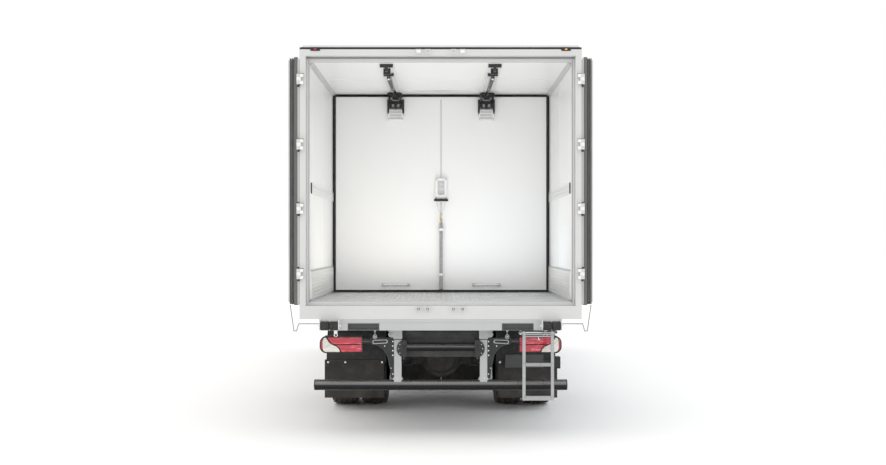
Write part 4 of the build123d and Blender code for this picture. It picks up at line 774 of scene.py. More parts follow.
def load_space_trim():
    shell = Form(coving_grey)
    # Coving between walls and ceiling
    back, front = REAR_Y + 132, BULKHEAD_Y - 6
    for y in ((back, front), (BULKHEAD_Y + 66, INSIDE_Y[1])):
        shell.prism([(WALL_X, CEILING_Z - 34), (WALL_X, CEILING_Z), (WALL_X - 38, CEILING_Z),
                     (WALL_X - 27, CEILING_Z - 5), (WALL_X - 13, CEILING_Z - 12),
                     (WALL_X - 5, CEILING_Z - 23)], y, "y")
    # Panel joints across the walls and the ceiling
    shell.use(panel_white)
    for y in (-3385, -2600, -1100, 100, 1300, 2400):
        shell.box((WALL_X - 2.5, WALL_X), (y - 17, y + 17), (FLOOR_Z + 300, 2285))
        shell.box((WALL_X - 2.5, WALL_X), (y - 17, y + 17), (2398, CEILING_Z - 33))
        shell.box((-440, 0), (y - 17, y + 17), (CEILING_Z - 2.5, CEILING_Z))
        shell.box((582, 1165), (y - 17, y + 17), (CEILING_Z - 2.5, CEILING_Z))
    # Angle along the floor's edge
    shell.use(aluminium)
    shell.prism([(WALL_X - 10, FLOOR_Z), (WALL_X - 34, FLOOR_Z), (WALL_X - 34, FLOOR_Z + 4),
                 (WALL_X - 14, FLOOR_Z + 4), (WALL_X - 10, FLOOR_Z + 24)], (back + 2, front), "y")
    # Cap on the kick plate
    shell.use(rail_metal)
    shell.box((WALL_X - 13, WALL_X), (INSIDE_Y[0], front), (FLOOR_Z + 284, FLOOR_Z + 296))
    shell.both_sides().make("load_space_trim", bevel=0.8)

    plates = Form(kick_metal)
    pitch = 75
    count = int((INSIDE_Y[1] - INSIDE_Y[0]) / pitch)
    for row in range(8):
        z = FLOOR_Z + 22 + row * 33
        for column in range(count):
            y = INSIDE_Y[0] + 12 + column * pitch + (pitch / 2 if row % 2 else 0)
            if y + 52 > INSIDE_Y[1] or BULKHEAD_Y - 60 < y < BULKHEAD_Y + 62:
                continue
            face, out = WALL_X - 10, WALL_X - 13
            verts = [(face, y, z), (face, y + 52, z), (face, y + 52, z + 12), (face, y, z + 12),
                     (out, y + 4, z + 3), (out, y + 48, z + 3), (out, y + 48, z + 9), (out, y + 4, z + 9)]
            plates.add(verts, [(0, 1, 5, 4), (1, 2, 6, 5), (2, 3, 7, 6), (3, 0, 4, 7), (4, 5, 6, 7),
                               (3, 2, 1, 0)])
    # Slots of the lashing rail as black boxes, painted shade in place of holes, and its ends
    plates.use(black_plastic)
    for column in range(int((INSIDE_Y[1] - INSIDE_Y[0] - 40) / 50)):
        y = INSIDE_Y[0] + 34 + column * 50
        if BULKHEAD_Y - 30 < y < BULKHEAD_Y + 62:
            continue
        for z in (2313, 2349):
            plates.box((WALL_X - 6.5, WALL_X - 4), (y, y + 19), (z - 3.5, z + 3.5))
    plates.box((WALL_X - 11, WALL_X), (INSIDE_Y[0] + 6, INSIDE_Y[0] + 16), (2290, 2392))
    plates.both_sides().make("wall_embossing", bevel=0)

    deck = Form(deck_metal)
    # Raised bars in alternating pairs, over the deck behind the bulkhead and ahead of it
    for start, end in ((REAR_Y + 136, BULKHEAD_Y - 104), (BULKHEAD_Y + 66, INSIDE_Y[1] - 4)):
        rows = int((end - start) / 44)
        for row in range(rows):
            y = start + 22 + row * 44
            for column in range(54):
                x = -1166 + column * 44
                turn = (row + column) % 2
                length, width = (15, 4.5) if turn else (4.5, 15)
                top = 0.55
                verts = [(x - length, y - width, FLOOR_Z), (x + length, y - width, FLOOR_Z),
                         (x + length, y + width, FLOOR_Z), (x - length, y + width, FLOOR_Z),
                         (x - length * top, y - width * top, FLOOR_Z + 2.2),
                         (x + length * top, y - width * top, FLOOR_Z + 2.2),
                         (x + length * top, y + width * top, FLOOR_Z + 2.2),
                         (x - length * top, y + width * top, FLOOR_Z + 2.2)]
                deck.add(verts, [(0, 1, 5, 4), (1, 2, 6, 5), (2, 3, 7, 6), (3, 0, 4, 7), (4, 5, 6, 7),
                                 (3, 2, 1, 0)])
    deck.make("deck_pattern", bevel=0)

    tracks = Form(white_plastic)
    for side in (-1, 1):
        x = side * 510
        for edge in (-1, 1):
            tracks.box((x + edge * 71, x + edge * 63), (INSIDE_Y[0] + 2, INSIDE_Y[1] - 2),
                       (CEILING_Z - 24, CEILING_Z - 19))
            tracks.box((x + edge * 26, x + edge * 20), (INSIDE_Y[0] + 2, INSIDE_Y[1] - 2),
                       (CEILING_Z - 24, CEILING_Z - 19))
    tracks.use(zinc)
    for side in (-1, 1):
        for edge in (-1, 1):
            for column in range(24):
                tracks.bolt((side * 510 + edge * 45, INSIDE_Y[0] + 60 + column * 290, CEILING_Z - 20), "z",
                            -1, 5, False, 2.5)
    # Dark end stop with its hook at the rear of each track
    tracks.use(arm_steel)
    for side in (-1, 1):
        x = side * 510
        tracks.box((x - 62, x + 62), (INSIDE_Y[0] - 6, INSIDE_Y[0] + 22), (CEILING_Z - 30, CEILING_Z - 1))
        tracks.box((x - 13, x + 13), (INSIDE_Y[0] - 4, INSIDE_Y[0] + 120), (CEILING_Z - 66, CEILING_Z - 30))
        tracks.box((x - 34, x + 34), (INSIDE_Y[0] + 100, INSIDE_Y[0] + 125),
                   (CEILING_Z - 78, CEILING_Z - 24))
    tracks.make("ceiling_tracks_trim", bevel=0.8)


def bulkhead():
    """Seal, latch, handles, rod, hook and ceiling carriages on the movable bulkhead."""
    face = BULKHEAD_Y
    seal = Form(rubber)
    seal.picture_frame((-1209.5, 1209.5, FLOOR_Z + 2, 3484), (-1186, 1186, FLOOR_Z + 25, 3474),
                       (face - 14, face + 62), "y")
    seal.use(panel_white)
    seal.picture_frame((-1186, 1186, FLOOR_Z + 25, 3474), (-1174, 1174, FLOOR_Z + 37, 3462),
                       (face - 4, face), "y")
    seal.make("bulkhead_seal", bevel=3, segments=3)

    panel = Form(panel_white)
    for side in (-1, 1):
        panel.box((side * 20, side * 1150), (face - 1.4, face), (FLOOR_Z + 60, 3425))
    panel.use(pale_plastic)
    panel.box((-9, 9), (face - 3, face), (FLOOR_Z + 40, 2295))
    panel.box((-9, 9), (face - 3, face), (2568, 3445))
    panel.make("bulkhead_skins", bevel=0.6)

    latch = Form(white_plastic)
    # Housing with a stepped front, two side cheeks and a window that shows the works
    latch.prism(rounded(corners(-70, 70, 2301, 2562), 14), (face - 24, face), "y")
    latch.picture_frame((-62, 62, 2330, 2552), (-38, 38, 2372, 2530), (face - 44, face - 22), "y")
    latch.use(pale_plastic)
    latch.box((-38, 38), (face - 27, face - 22), (2372, 2530))
    for z in (2400, 2452, 2504):
        latch.box((-30, 30), (face - 36, face - 26), (z - 4, z + 4))
    latch.use(zinc)
    for x in (-52, 52):
        for z in (2340, 2541):
            latch.bolt((x, face - 44, z), "y", -1, 6)
    latch.rod((0, face - 34, 2318), (0, face - 34, 2380), 10, 16)
    # Black bar grip at the bottom of the housing
    latch.use(black_plastic)
    latch.prism(rounded(corners(face - 75, face - 40, 2296, 2322), 8), (-80, 80), "x")
    for x in (-58, 58):
        latch.box((x - 9, x + 9), (face - 52, face - 24), (2300, 2330))
    # Wire bail down to the snap hook
    latch.use(bright)
    for side in (-1, 1):
        latch.tube([(side * 47, face - 56, 2296), (side * 44, face - 58, 2262), (side * 10, face - 58, 2168),
                    (side * 3, face - 58, 2150)], 3.2, 8)
    latch.use(gold)
    ring = [(math.sin(a) * 13, face - 58,
             2150 + math.cos(a) * 13) for a in [2 * math.pi * i / 14 for i in range(14)]]
    latch.tube(ring, 4, 8, True)
    latch.tube([(0, face - 58, 2140), (-9, face - 58, 2122), (-10, face - 58, 2092), (0, face - 58, 2074),
                (10, face - 58, 2088), (9, face - 58, 2110)], [5, 5, 5.5, 6, 5, 3.5], 10)
    latch.rod((0, face - 58, 2078), (0, face - 50, 2052), 7, 12)
    # Locking rod in its eyelets down to the floor
    latch.use(zinc)
    latch.rod((0, face - 45, 1312), (0, face - 45, 2056), 17, 24)
    latch.rod((0, face - 45, 1276), (0, face - 45, 1318), 11, 20)
    latch.use(white_plastic)
    for z in (1474, 1979):
        latch.lathe([(-13, 19), (-13, 29), (-9, 33), (9, 33), (13, 29), (13, 19)], (0, face - 45, z), "z",
                    28, True)
        latch.box((-38, 38), (face - 14, face), (z - 17, z + 17))
        latch.box((-26, 26), (face - 40, face - 10), (z - 10, z + 10))
    latch.use(zinc)
    for z in (1474, 1979):
        for x in (-30, 30):
            latch.bolt((x, face - 14, z), "y", -1, 4.5)
    latch.use(black_plastic)
    latch.prism(rounded(corners(-58, 58, face - 88, face - 8), 10), (1277, 1286), "z")
    latch.lathe([(0, 26), (16, 24), (24, 19), (24, 12)], (0, face - 45, 1286), "z", 20)

    for side in (-1, 1):
        x = side * 510
        latch.use(bright)
        latch.tube([(x - 140, face - 10, GRIP_Z), (x - 140, face - 42, GRIP_Z), (x - 132, face - 50, GRIP_Z),
                    (x + 132, face - 50, GRIP_Z), (x + 140, face - 42, GRIP_Z),
                    (x + 140, face - 10, GRIP_Z)], 10, 14)
        for end in (-1, 1):
            latch.use(pale_plastic)
            latch.prism(rounded(corners(x + end * 140 - 22, x + end * 140 + 22, 1337, 1377), 10),
                        (face - 10, face), "y")
            latch.use(zinc)
            latch.bolt((x + end * 140 - 13, face - 10, GRIP_Z), "y", -1, 4)
            latch.bolt((x + end * 140 + 13, face - 10, GRIP_Z), "y", -1, 4)

    for side in (-1, 1):
        x = side * 510
        # Carriage plate with cross bars, rollers and the lifting gas spring
        latch.use(white_plastic)
        latch.box((x - 70, x + 70), (face - 8, face), (3205, 3440))
        for edge in (-1, 1):
            latch.box((x + edge * 90, x + edge * 64), (face - 30, face), (3205, 3322))
        for z in (3212, 3246, 3280, 3312):
            latch.box((x - 66, x + 66), (face - 36, face - 8), (z, z + 9))
        # Dark upper works: a leg at each edge, a cross plate, a hook plate and two rollers
        latch.use(arm_steel)
        for edge in (-1, 1):
            latch.box((x + edge * 95, x + edge * 74), (face - 40, face), (3300, 3440))
            latch.prism([(face - 40, 3300), (face - 18, 3300), (face - 18, 3258)],
                        (x + edge * 93, x + edge * 76), "x")
            latch.box((x + edge * 58, x + edge * 44), (face - 46, face - 6), (3352, 3438))
        latch.box((x - 74, x + 74), (face - 30, face - 8), (3392, 3424))
        latch.box((x - 74, x + 74), (face - 34, face - 8), (3340, 3354))
        latch.prism([(x - 20, 3392), (x + 20, 3392), (x + 12, 3336), (x - 12, 3336)], (face - 42, face - 10),
                    "y")
        for end in (-66, 66):
            latch.rod((x + end - 8, face - 36, 3372), (x + end + 8, face - 36, 3372), 15, 18)
        latch.box((x - 32, x + 32), (face - 300, face), (3444, 3463))
        for edge in (-1, 1):
            latch.box((x + edge * 70, x + edge * 62), (face - 300, face), (3408, 3463))
        for y in (face - 270, face - 180, face - 60):
            latch.rod((x - 78, y, 3472), (x + 78, y, 3472), 12, 16)
        latch.use(zinc)
        for edge in (-1, 1):
            for y in (face - 250, face - 150, face - 50):
                latch.bolt((x + edge * 70, y, 3434), "x", edge, 6)
            for z in (3224, 3300, 3420):
                latch.bolt((x + edge * 78, face - 34, z), "y", -1, 6)
        # Gas spring: cylinder, piston rod, end fittings
        latch.use(arm_steel)
        latch.rod((x, face - 1490, 3440), (x, face - 860, 3446), 21, 20, 15)
        latch.rod((x, face - 640, 3449), (x, face - 260, 3455), 9, 16)
        latch.use(bright)
        latch.rod((x, face - 862, 3446), (x, face - 640, 3449), 17, 20, 12)
        latch.use(black_plastic)
        latch.rod((x, face - 760, 3447.5), (x, face - 735, 3448), 18, 20)
        latch.use(arm_steel)
        latch.box((x - 50, x + 50), (face - 1560, face - 1520), (3460, 3483))
        for edge in (-1, 1):
            latch.prism([(face - 1540, 3430), (face - 1500, 3430), (face - 1490, 3462), (face - 1560, 3462)],
                        (x + edge * 16, x + edge * 9), "x")
        latch.use(bright)
        latch.rod((x - 20, face - 1510, 3440), (x + 20, face - 1510, 3440), 7, 14)
        latch.lathe([(0, 0.01), (-4, 17), (-16, 21), (-28, 15), (-32, 0.01)], (x, face - 1500, 3440), "y",
                    18)
    latch.make("bulkhead_fittings", bevel=0.8, replaces=("bulkhead_gear",))


# Rear underbody

def rear_beam():
    form = Form(beam_paint)
    # Lighter lip along the top and the frames of the dark recesses
    form.box((-1118, 1118), (REAR_Y - 3, REAR_Y + 1), (1094, 1121))
    # Painted shade: dark plates frame and line the recesses in place of their shade
    form.use(dark_plate_and_painted_shade)
    for x in (-710, 710):
        form.picture_frame((x - 146, x + 146, 1020, 1085), (x - 134, x + 134, 1030, 1075),
                           (REAR_Y - 2, REAR_Y + 4), "y")
        form.box((x - 137, x + 137), (REAR_Y + 22, REAR_Y + 26), (1024, 1081))
        for k in range(5):
            form.box((x - 120 + k * 52, x - 90 + k * 52), (REAR_Y + 12, REAR_Y + 24), (1034, 1040))
    form.make("rear_beam_trim", bevel=0.8)

    rollers = Form(lacquer)
    # Cheek plates, bolts and rubber rollers with their steel cores
    for side in (-1, 1):
        centre = side * 1017
        for x in (centre - 87, centre + 87):
            cheek = rounded([(REAR_Y, 1022), (REAR_Y, 1121), (REAR_Y - 66, 1121), (REAR_Y - 101, 1092),
                             (REAR_Y - 101, 1046), (REAR_Y - 66, 1024)], [0, 0, 16, 18, 18, 16])
            rollers.prism(cheek, (x - 4.6, x + 4.6), "x")
        rollers.box((centre - 94, centre + 94), (REAR_Y - 9, REAR_Y), (1019, 1122.5))
    rollers.use(bright)
    for side in (-1, 1):
        centre = side * 1017
        for x, way in ((centre - 91.6, -1), (centre + 91.6, 1)):
            rollers.nut((x, REAR_Y - 68.5, 1066.5), "x", way, 13)
            rollers.bolt((x, REAR_Y - 30, 1106), "x", way, 6)
            rollers.bolt((x, REAR_Y - 30, 1036), "x", way, 6)
        for x in (centre - 70, centre - 24, centre + 24, centre + 70):
            rollers.bolt((x, REAR_Y - 9, 1030), "y", -1, 6)
    rollers.make("roller_cheeks", bevel=0.9)
    tyres = Form(rubber)
    for side in (-1, 1):
        for shift in (-40.5, 40.5):
            x = side * 1017 + shift
            tyres.use(rubber)
            tyres.lathe([(-38, 22), (-38, 36), (-33, 41.5), (-8, 42), (-6, 40.6), (6, 40.6), (8, 42),
                         (33, 41.5), (38, 36), (38, 22)], (x, REAR_Y - 68.5, 1066.5), "x", 40, True)
            tyres.use(zinc)
            tyres.lathe([(-39, 10.4), (-39, 22), (39, 22), (39, 10.4)], (x, REAR_Y - 68.5, 1066.5), "x", 28,
                        True)
    tyres.make("dock_rollers", bevel=1.0, replaces=("buffer_rollers",))


def tail_lamp(side):
    """Housing with a rounded outer end, crimson chambers, and the pale swept chamber over its outer end."""
    y = -4145
    x0, x1, z0, z1 = 738, 1152, 776, 938
    word = "left" if side < 0 else "right"

    def shape(inset):
        points = [(x0 + inset + 16, z0 + inset), (x1 - 46, z0 + inset)]
        points += arc((x1 - 62, z0 + 62 + inset * 0.2), 62 - inset, -80, 0, 6)
        points += arc((x1 - 62, z1 - 62 - inset * 0.2), 62 - inset, 0, 80, 6)
        points += [(x1 - 46, z1 - inset), (x0 + inset + 16, z1 - inset), (x0 + inset + 4, z1 - inset - 5),
                   (x0 + inset, z1 - inset - 18), (x0 + inset, z0 + inset + 18),
                   (x0 + inset + 4, z0 + inset + 5)]
        return [(side * x, z) for x, z in points]

    form = Form(black_plastic)
    form.prism(shape(0), (y + 8, y + 88), "y")
    form.band(shape(0), shape(9), (y - 15, y + 12), ALONG["y"])
    form.use(red_lens)
    # Red chambers: an upper long one, a lower one, and the outer fin
    cells = [[(751, 862), (1034, 862), (1082, 925), (751, 925)],
             [(751, 789), (946, 789), (958, 818), (988, 845), (1014, 853), (751, 853)]]
    for cell in cells:
        form.prism([(side * x, z) for x, z in rounded(cell, 6)], (y - 9, y + 10), "y")
    fin = [(1126, 796), (1142, 820), (1144, 892), (1127, 918)]
    form.prism([(side * x, z) for x, z in fin], (y - 6, y + 10), "y")
    form.use(milk_lens)
    swept = [(956, 787), (1096, 787), (1118, 800), (1124, 830), (1124, 890), (1116, 918), (1094, 926),
             (1086, 910), (1066, 880), (1046, 862), (1018, 848), (990, 836), (970, 815)]
    form.prism([(side * x, z) for x, z in rounded(swept, 8, 3)], (y - 13, y + 10), "y")
    form.use(reflector)
    for x, z, r in ((1094, 868, 15), (1030, 806, 9)):
        form.lathe([(0, r), (-3, r), (-3.5, r * 0.75), (2, r * 0.3)], (side * x, y - 12, z), "y", 24)
    form.use(red_lens)
    for k in range(6):
        x = 764 + k * 44
        form.prism(rounded(corners(side * x, side * (x + 32), 872, 912), 5), (y - 11.5, y - 8), "y")
    form.use(bright)
    for x, z in ((766, 859), (1100, 932)):
        form.bolt((side * x, y - 1, z), "y", -1, 3.4, False, 1.8)
    form.make(f"tail_lamp_{word}", bevel=1.6, segments=3, replaces=("tail_lamps",) if side > 0 else ())


def lamp_arms():
    """Pressed arms: a folded plate with an outlined slot, and a curved gusset down each post."""
    form = Form(arm_steel)
    y = -4214
    near = 441
    top = [(near, 925), (near + 214, 925), (near + 232, 914), (742, 914), (742, 880), (near + 232, 880),
           (near + 214, 868)]
    curve = [(near + 214 - 214 * math.sin(t) * 0.82, 548 + 320 * math.cos(t) ** 0.62)
             for t in [math.pi / 2 * i / 10 for i in range(1, 10)]]
    plate = top + curve + [(near + 30, 541), (near, 541)]
    form.prism(plate, (y, y + 6), "y")
    # Folded edges along the top and along the curve
    form.prism([(near, 925), (near + 214, 925), (near + 232, 914), (near + 232, 908), (near + 212, 919),
                (near, 919)], (y - 3, y + 60), "y")
    form.use(dark_plate_and_painted_shade)
    edge = [(near + 214, 868)] + curve
    form.tube([(x, y - 1, z) for x, z in edge], 3.2, 8)
    form.tube([(near + 232, y - 2, 897), (742, y - 2, 897)], [9, 7], 10)
    form.use(grey_steel)
    slot_outer = rounded([(near + 58, 876), (near + 202, 868), (near + 206, 906), (near + 62, 912)], 16)
    slot_inner = rounded([(near + 68, 883), (near + 194, 876), (near + 197, 899), (near + 71, 905)], 10)
    count = len(slot_outer)
    verts = [(x, a, z) for a in (y - 5, y) for x, z in slot_outer + slot_inner]
    faces = []
    for i in range(count):
        j = (i + 1) % count
        faces += [(i, j, count + j, count + i), (2 * count + j, 2 * count + i, 3 * count + i, 3 * count + j),
                  (i, 2 * count + i, 2 * count + j, j),
                  (count + j, 3 * count + j, 3 * count + i, count + i)]
    form.add(verts, faces)
    # Painted shade: a black plate fills the slot in place of its shade
    form.use(black_plastic)
    form.prism(slot_inner, (y - 1.5, y), "y")
    form.use(arm_steel)
    form.box((near, near + 26), (y + 2, -4145), (560, 900))
    form.box((716, 744), (y + 2, -4100), (872, 918))
    form.both_sides()
    form.use(bright)
    for side in (-1, 1):
        for z in (893, 850, 806, 762):
            form.bolt((side * 453, y, z), "y", -1, 7)
        form.bolt((side * 530, y, 850), "y", -1, 6)
        form.bolt((side * 470, y, 640), "y", -1, 5)
        form.bolt((side * 452, y, 585), "y", -1, 6)
    form.make("lamp_arms_pressed", bevel=1.0, replaces=("lamp_arms",))


def underrun():
    posts = Form(beam_paint)
    for side in (-1, 1):
        x = side * 406
        # Flared saddle round the tube, the seam of the two-part post and its small gussets
        posts.prism([(x - 34.5, 560), (x + 34.5, 560), (x + 50, 531), (x - 50, 531)], (-4226, -4144), "y")
        posts.box((x - 42, x + 42), (-4231, -4225), (918, 1010))
        posts.box((x - 35, x + 35), (-4226.5, -4225), (676, 684))
        ear = rounded([(x + side * 42, 1000), (x + side * 70, 996), (x + side * 92, 962),
                       (x + side * 84, 938), (x + side * 42, 930)], [0, 14, 16, 14, 0])
        posts.prism(ear, (-4226, -4219), "y")
        posts.lathe(corners(0, -5, 9, 15), (x + side * 66, -4226, 962), "y", 20, True)
    posts.use(black_plastic)
    for side in (-1, 1):
        posts.box((side * 406 - 42, side * 406 + 42), (-4228, -4224), (910, 917))
    posts.use(arm_steel)
    # Round-edged flange plates of the cross tube, lapped over the posts' inner edges
    for side in (-1, 1):
        centre = side * 336
        plate = [(centre + side * 80 * math.cos(t),
                  826 + 84 * math.sin(t)) for t in [math.radians(a) for a in range(-90, 91, 10)]]
        plate += [(side * 322, 896), (side * 322, 756)]
        posts.prism(plate, (-4238, -4228), "y")
    posts.use(bright)
    for side in (-1, 1):
        for z in (868, 826, 784):
            posts.bolt((side * (398 - abs(z - 826) * 0.3), -4238, z), "y", -1, 4)
        posts.bolt((side * 414, -4226, 548), "y", -1, 6)
    posts.make("underrun_post_trim", bevel=1.2)

    bar = Form(tube_black)
    for side in (-1, 1):
        x = side * 1193
        bar.lathe([(0, 0.01), (0, 49), (side * 4, 51.5), (side * 6, 48), (side * 6.5, 0.01)],
                  (x, -4185, 479.5), "x", 40)
    bar.lathe([(-1189, 50.9), (1189, 50.9)], (0, -4185, 479.5), "x", 72)
    bar.use(rubber)
    bar.lathe([(-1197, 30), (-1198, 46), (-1196.5, 50.5), (-1188, 51.6), (-1187, 50)], (0, -4185, 479.5),
              "x", 48)
    bar.lathe([(1197, 30), (1198, 46), (1196.5, 50.5), (1188, 51.6), (1187, 50)], (0, -4185, 479.5), "x",
              48)
    bar.make("underrun_tube_skin", bevel=0)

    tube = Form(cross_black)
    tube.lathe([(-356, 34.3), (356, 34.3)], (0, -4185, 835), "x", 48)
    tube.use(zinc)
    for side in (-1, 1):
        for y, z in ((-4158, 862), (-4158, 806), (-4158, 726)):
            tube.nut((side * 357, y, z), "x", -side, 9)
    tube.use(chassis_paint)
    for side in (-1, 1):
        x = side * 357
        tube.lathe([(0, 34), (0, 62), (-side * 10, 62), (-side * 30, 36)], (x, -4185, 835), "x", 36)
    # Dark end cross member with a pressed channel, seen over the tube
    tube.box((-330, 330), (-4150, -4143), (905, 990))
    tube.box((-330, 330), (-4156, -4150), (912, 918))
    tube.box((-330, 330), (-4156, -4150), (976, 982))
    for x in (-300, -150, 0, 150, 300):
        tube.bolt((x, -4150, 946), "y", -1, 8)
    tube.make("cross_tube_trim", bevel=0.8)


def hanging_eyes():
    """Small bright eyes on short chains under the beam."""
    form = Form(zinc)
    for x in (-606, 615):
        z = 1019
        form.box((x - 9, x + 9), (REAR_Y + 18, REAR_Y + 34), (z - 12, z + 1))
        for link_at in range(2):
            a = z - 20 - link_at * 13
            loop = []
            for i in range(12):
                t = 2 * math.pi * i / 12
                if link_at % 2:
                    loop.append((x, REAR_Y + 26 + math.sin(t) * 5, a + math.cos(t) * 10))
                else:
                    loop.append((x + math.sin(t) * 5, REAR_Y + 26, a + math.cos(t) * 10))
            form.tube(loop, 1.8, 6, True)
        ring = [(x + math.sin(2 * math.pi * i / 18) * 16, REAR_Y + 26,
                 z - 60 + math.cos(2 * math.pi * i / 18) * 19) for i in range(18)]
        form.tube(ring, 4.2, 8, True)
        form.lathe([(-3, 0.01), (-4, 9), (4, 9), (3, 0.01)], (x, REAR_Y + 26, z - 60), "y", 16)
    form.use(bright)
    # Tie-down eyes at the beam's ends
    for side in (-1, 1):
        x = side * 968
        form.box((x - 16, x + 16), (REAR_Y + 20, REAR_Y + 40), (985, 1021))
        form.lathe([(-7, 10), (-9, 14), (-6, 19), (6, 19), (9, 14), (7, 10)], (x, REAR_Y + 30, 975), "y", 20,
                   True)
    form.make("hanging_eyes", bevel=0.5, segments=1)


def flaps():
    form = Form(flap_rubber)
    y = -2751
    for side in (-1, 1):
        # Band across the flap, ribs at its edges and its hem
        form.box((side * 623, side * 1262), (y - 4, y), (505, 559))
        form.box((side * 623, side * 634), (y - 3, y), (150, 505))
        form.box((side * 1251, side * 1262), (y - 3, y), (150, 505))
        form.box((side * 623, side * 1262), (y - 3, y), (146, 158))
        for k in range(7):
            x = side * (700 + k * 82)
            form.box((x - 2, x + 2), (y - 1.5, y), (170, 330))
    form.use(bright)
    for side in (-1, 1):
        for x in (640, 1040, 1226):
            form.bolt((side * x, y - 4, 532), "y", -1, 11)
    form.use(arm_steel)
    for side in (-1, 1):
        form.box((side * 623, side * 1262), (y + 11, y + 17), (520, 560))
    # A bare dark plate in its frame and the box beside it, on the right
    form.use(dark_plate_and_painted_shade)
    form.prism(rounded(corners(700, 1108, 480, 614), 8), (y - 26, y - 22), "y")
    form.picture_frame((696, 1112, 476, 618), (708, 1100, 488, 606), (y - 29, y - 20), "y")
    for x in (760, 1040):
        form.box((x, x + 24), (y - 22, y - 2), (520, 560))
    form.use(arm_steel)
    form.prism(rounded(corners(1212, 1292, 470, 600), 10), (y - 62, y - 4), "y")
    form.make("mud_flap_trim", bevel=0.8)


def guards_rear():
    """Ribbed skins and stays over the twin tyres."""
    form = Form(black_plastic)
    for side in (-1, 1):
        for x in (side * 606, side * 1239):
            points = [(x, REAR_AXLE_Y + math.cos(math.radians(a)) * 607,
                       TYRE_R + min(565, math.sin(math.radians(a)) * 607)) for a in range(4, 180, 8)]
            form.tube(points, 6, 8)
    form.use(zinc)
    for side in (-1, 1):
        for dy in (-420, 420):
            form.tube([(side * 430, REAR_AXLE_Y + dy, 880), (side * 700, REAR_AXLE_Y + dy * 1.0, 940),
                       (side * 1200, REAR_AXLE_Y + dy * 1.0, 958)], 16, 12)
    form.make("rear_guard_trim", bevel=0)


def ladder_pieces():
    x, y = 896, REAR_Y - 22
    half, stile = 145, 29
    form = Form(ladder_metal)
    for side in (-1, 1):
        a = x + side * (half - stile / 2)
        # Channel stile with rounded ends
        outline = rounded(corners(a - stile / 2, a + stile / 2, 379, 1013), [10, 10, 16, 16], 5)
        form.prism(outline, (y - 8, y + 8), "y")
        form.box((a - stile / 2, a - stile / 2 + 4), (y - 12, y + 12), (392, 985))
        form.box((a + stile / 2 - 4, a + stile / 2), (y - 12, y + 12), (392, 985))
    for low, high in ((379, 420), (692, 722)):
        form.prism(corners(y - 12, y + 12, low, high), (x - half + 4, x + half - 4), "x")
        for row in range(4):
            z = low + 6 + row * (high - low - 12) / 3
            form.rod((x - half + 34, y - 12, z), (x + half - 34, y - 12, z), 2.2, 8)
    for z in (966, 984):
        form.box((x - half + 6, x + half - 6), (y - 9, y + 9), (z - 5, z + 5))
    form.use(zinc)
    for side in (-1, 1):
        a = x + side * (half - stile / 2)
        for z in (400, 715, 975):
            form.bolt((a, y - 12, z), "y", -1, 7)
    form.use(bright)
    form.tube([(x, y - 12, 970), (x, y - 20, 962), (x, y - 22, 946), (x + 6, y - 18, 934),
               (x + 12, y - 14, 944)], 4, 8)
    form.make("ladder_frame", "ladder", bevel=1.6, replaces=("ladder",))
    lugs = Form(zinc)
    for side in (-1, 1):
        a = x + side * (half + 17)
        lugs.prism(rounded(corners(y - 16, y + 20, 985, 1019), [14, 4, 0, 4]), (a - 9.5, a + 9.5), "x")
        lugs.bolt((a + side * 9.5, y, 1001), "x", side, 10)
    lugs.make("ladder_lugs", bevel=0.8)


def wire_ends():
    form = Form(zinc)
    for side in (-1, 1):
        for z in (1062, 1086):
            form.lathe([(0, 0.01), (0, 9), (side * 5, 9), (side * 5, 0.01)], (side * 1120, REAR_Y + 70, z),
                       "x", 14)
        form.box((side * 1119, side * 1123), (REAR_Y + 56, REAR_Y + 84), (1052, 1098))
        form.lathe([(0, 5), (8, 6.5), (12, 4), (13, 0.01)], (side * 1394, REAR_Y + 70, 1236), "z", 14)
    form.make("wire_ends", bevel=0.5, segments=1)


# Wheels

def tyre_mesh(form, x, y, block):
    """A radial truck tyre with ribs or blocks, shoulder slots, sidewall bands and a bead."""
    # Place across the width, radius; the sidewall bulges between bead and shoulder
    side_wall = [(-104, 287), (-118, 296), (-130, 322), (-138, 352), (-146, 396), (-149, 430), (-147, 462),
                 (-141, 488), (-136, 500)]
    if block:
        crown = [(-130, 511), (-102, 517), (-98, 517), (-95, 503), (-88, 503), (-85, 519), (-36, 521.5),
                 (-33, 505), (-27, 505), (-24, 521.8), (0, TYRE_R)]
    else:
        crown = [(-130, 512), (-100, 518), (-97, 518), (-94, 504), (-86, 504), (-83, 519.5), (-46, 521),
                 (-43, 505), (-35, 505), (-32, 521.5), (-6, 522), (-4, 507), (0, 507)]
    half_profile = side_wall + crown
    profile = half_profile + [(-a, r) for a, r in reversed(half_profile) if a < 0]
    steps = 144 if block else 120

    def cut(step, along, radius):
        if radius > 508 and block:
            middle = abs(along) < 90
            phase = (step + (3 if along > 0 else 0) + (1 if middle else 0)) % 6
            if phase == 0:
                radius -= 11 if middle else 14
        elif radius > 508:
            if step % 4 == 0 and abs(along) > 92:
                radius -= 7
            if step % 4 == 2 and abs(along) < 50:
                radius -= 3
        elif 425 < radius < 470 and block and step % 6 in (2, 3):
            along *= 0.985
        return along, radius

    form.use(tyre_rubber)
    form.lathe(profile, (x, y, TYRE_R), "x", steps, True, cut)
    # Raised bands on the outer sidewall
    for a, r, wide in ((147.5, 410, 3), (143, 372, 2.5), (138, 345, 2.5)):
        for way in (-1, 1):
            form.lathe([(way * (a - 2), r - wide - 3), (way * (a + 0.8), r - wide),
                        (way * (a + 0.8), r + wide), (way * (a - 2), r + wide + 3)], (x, y, TYRE_R), "x",
                       72)


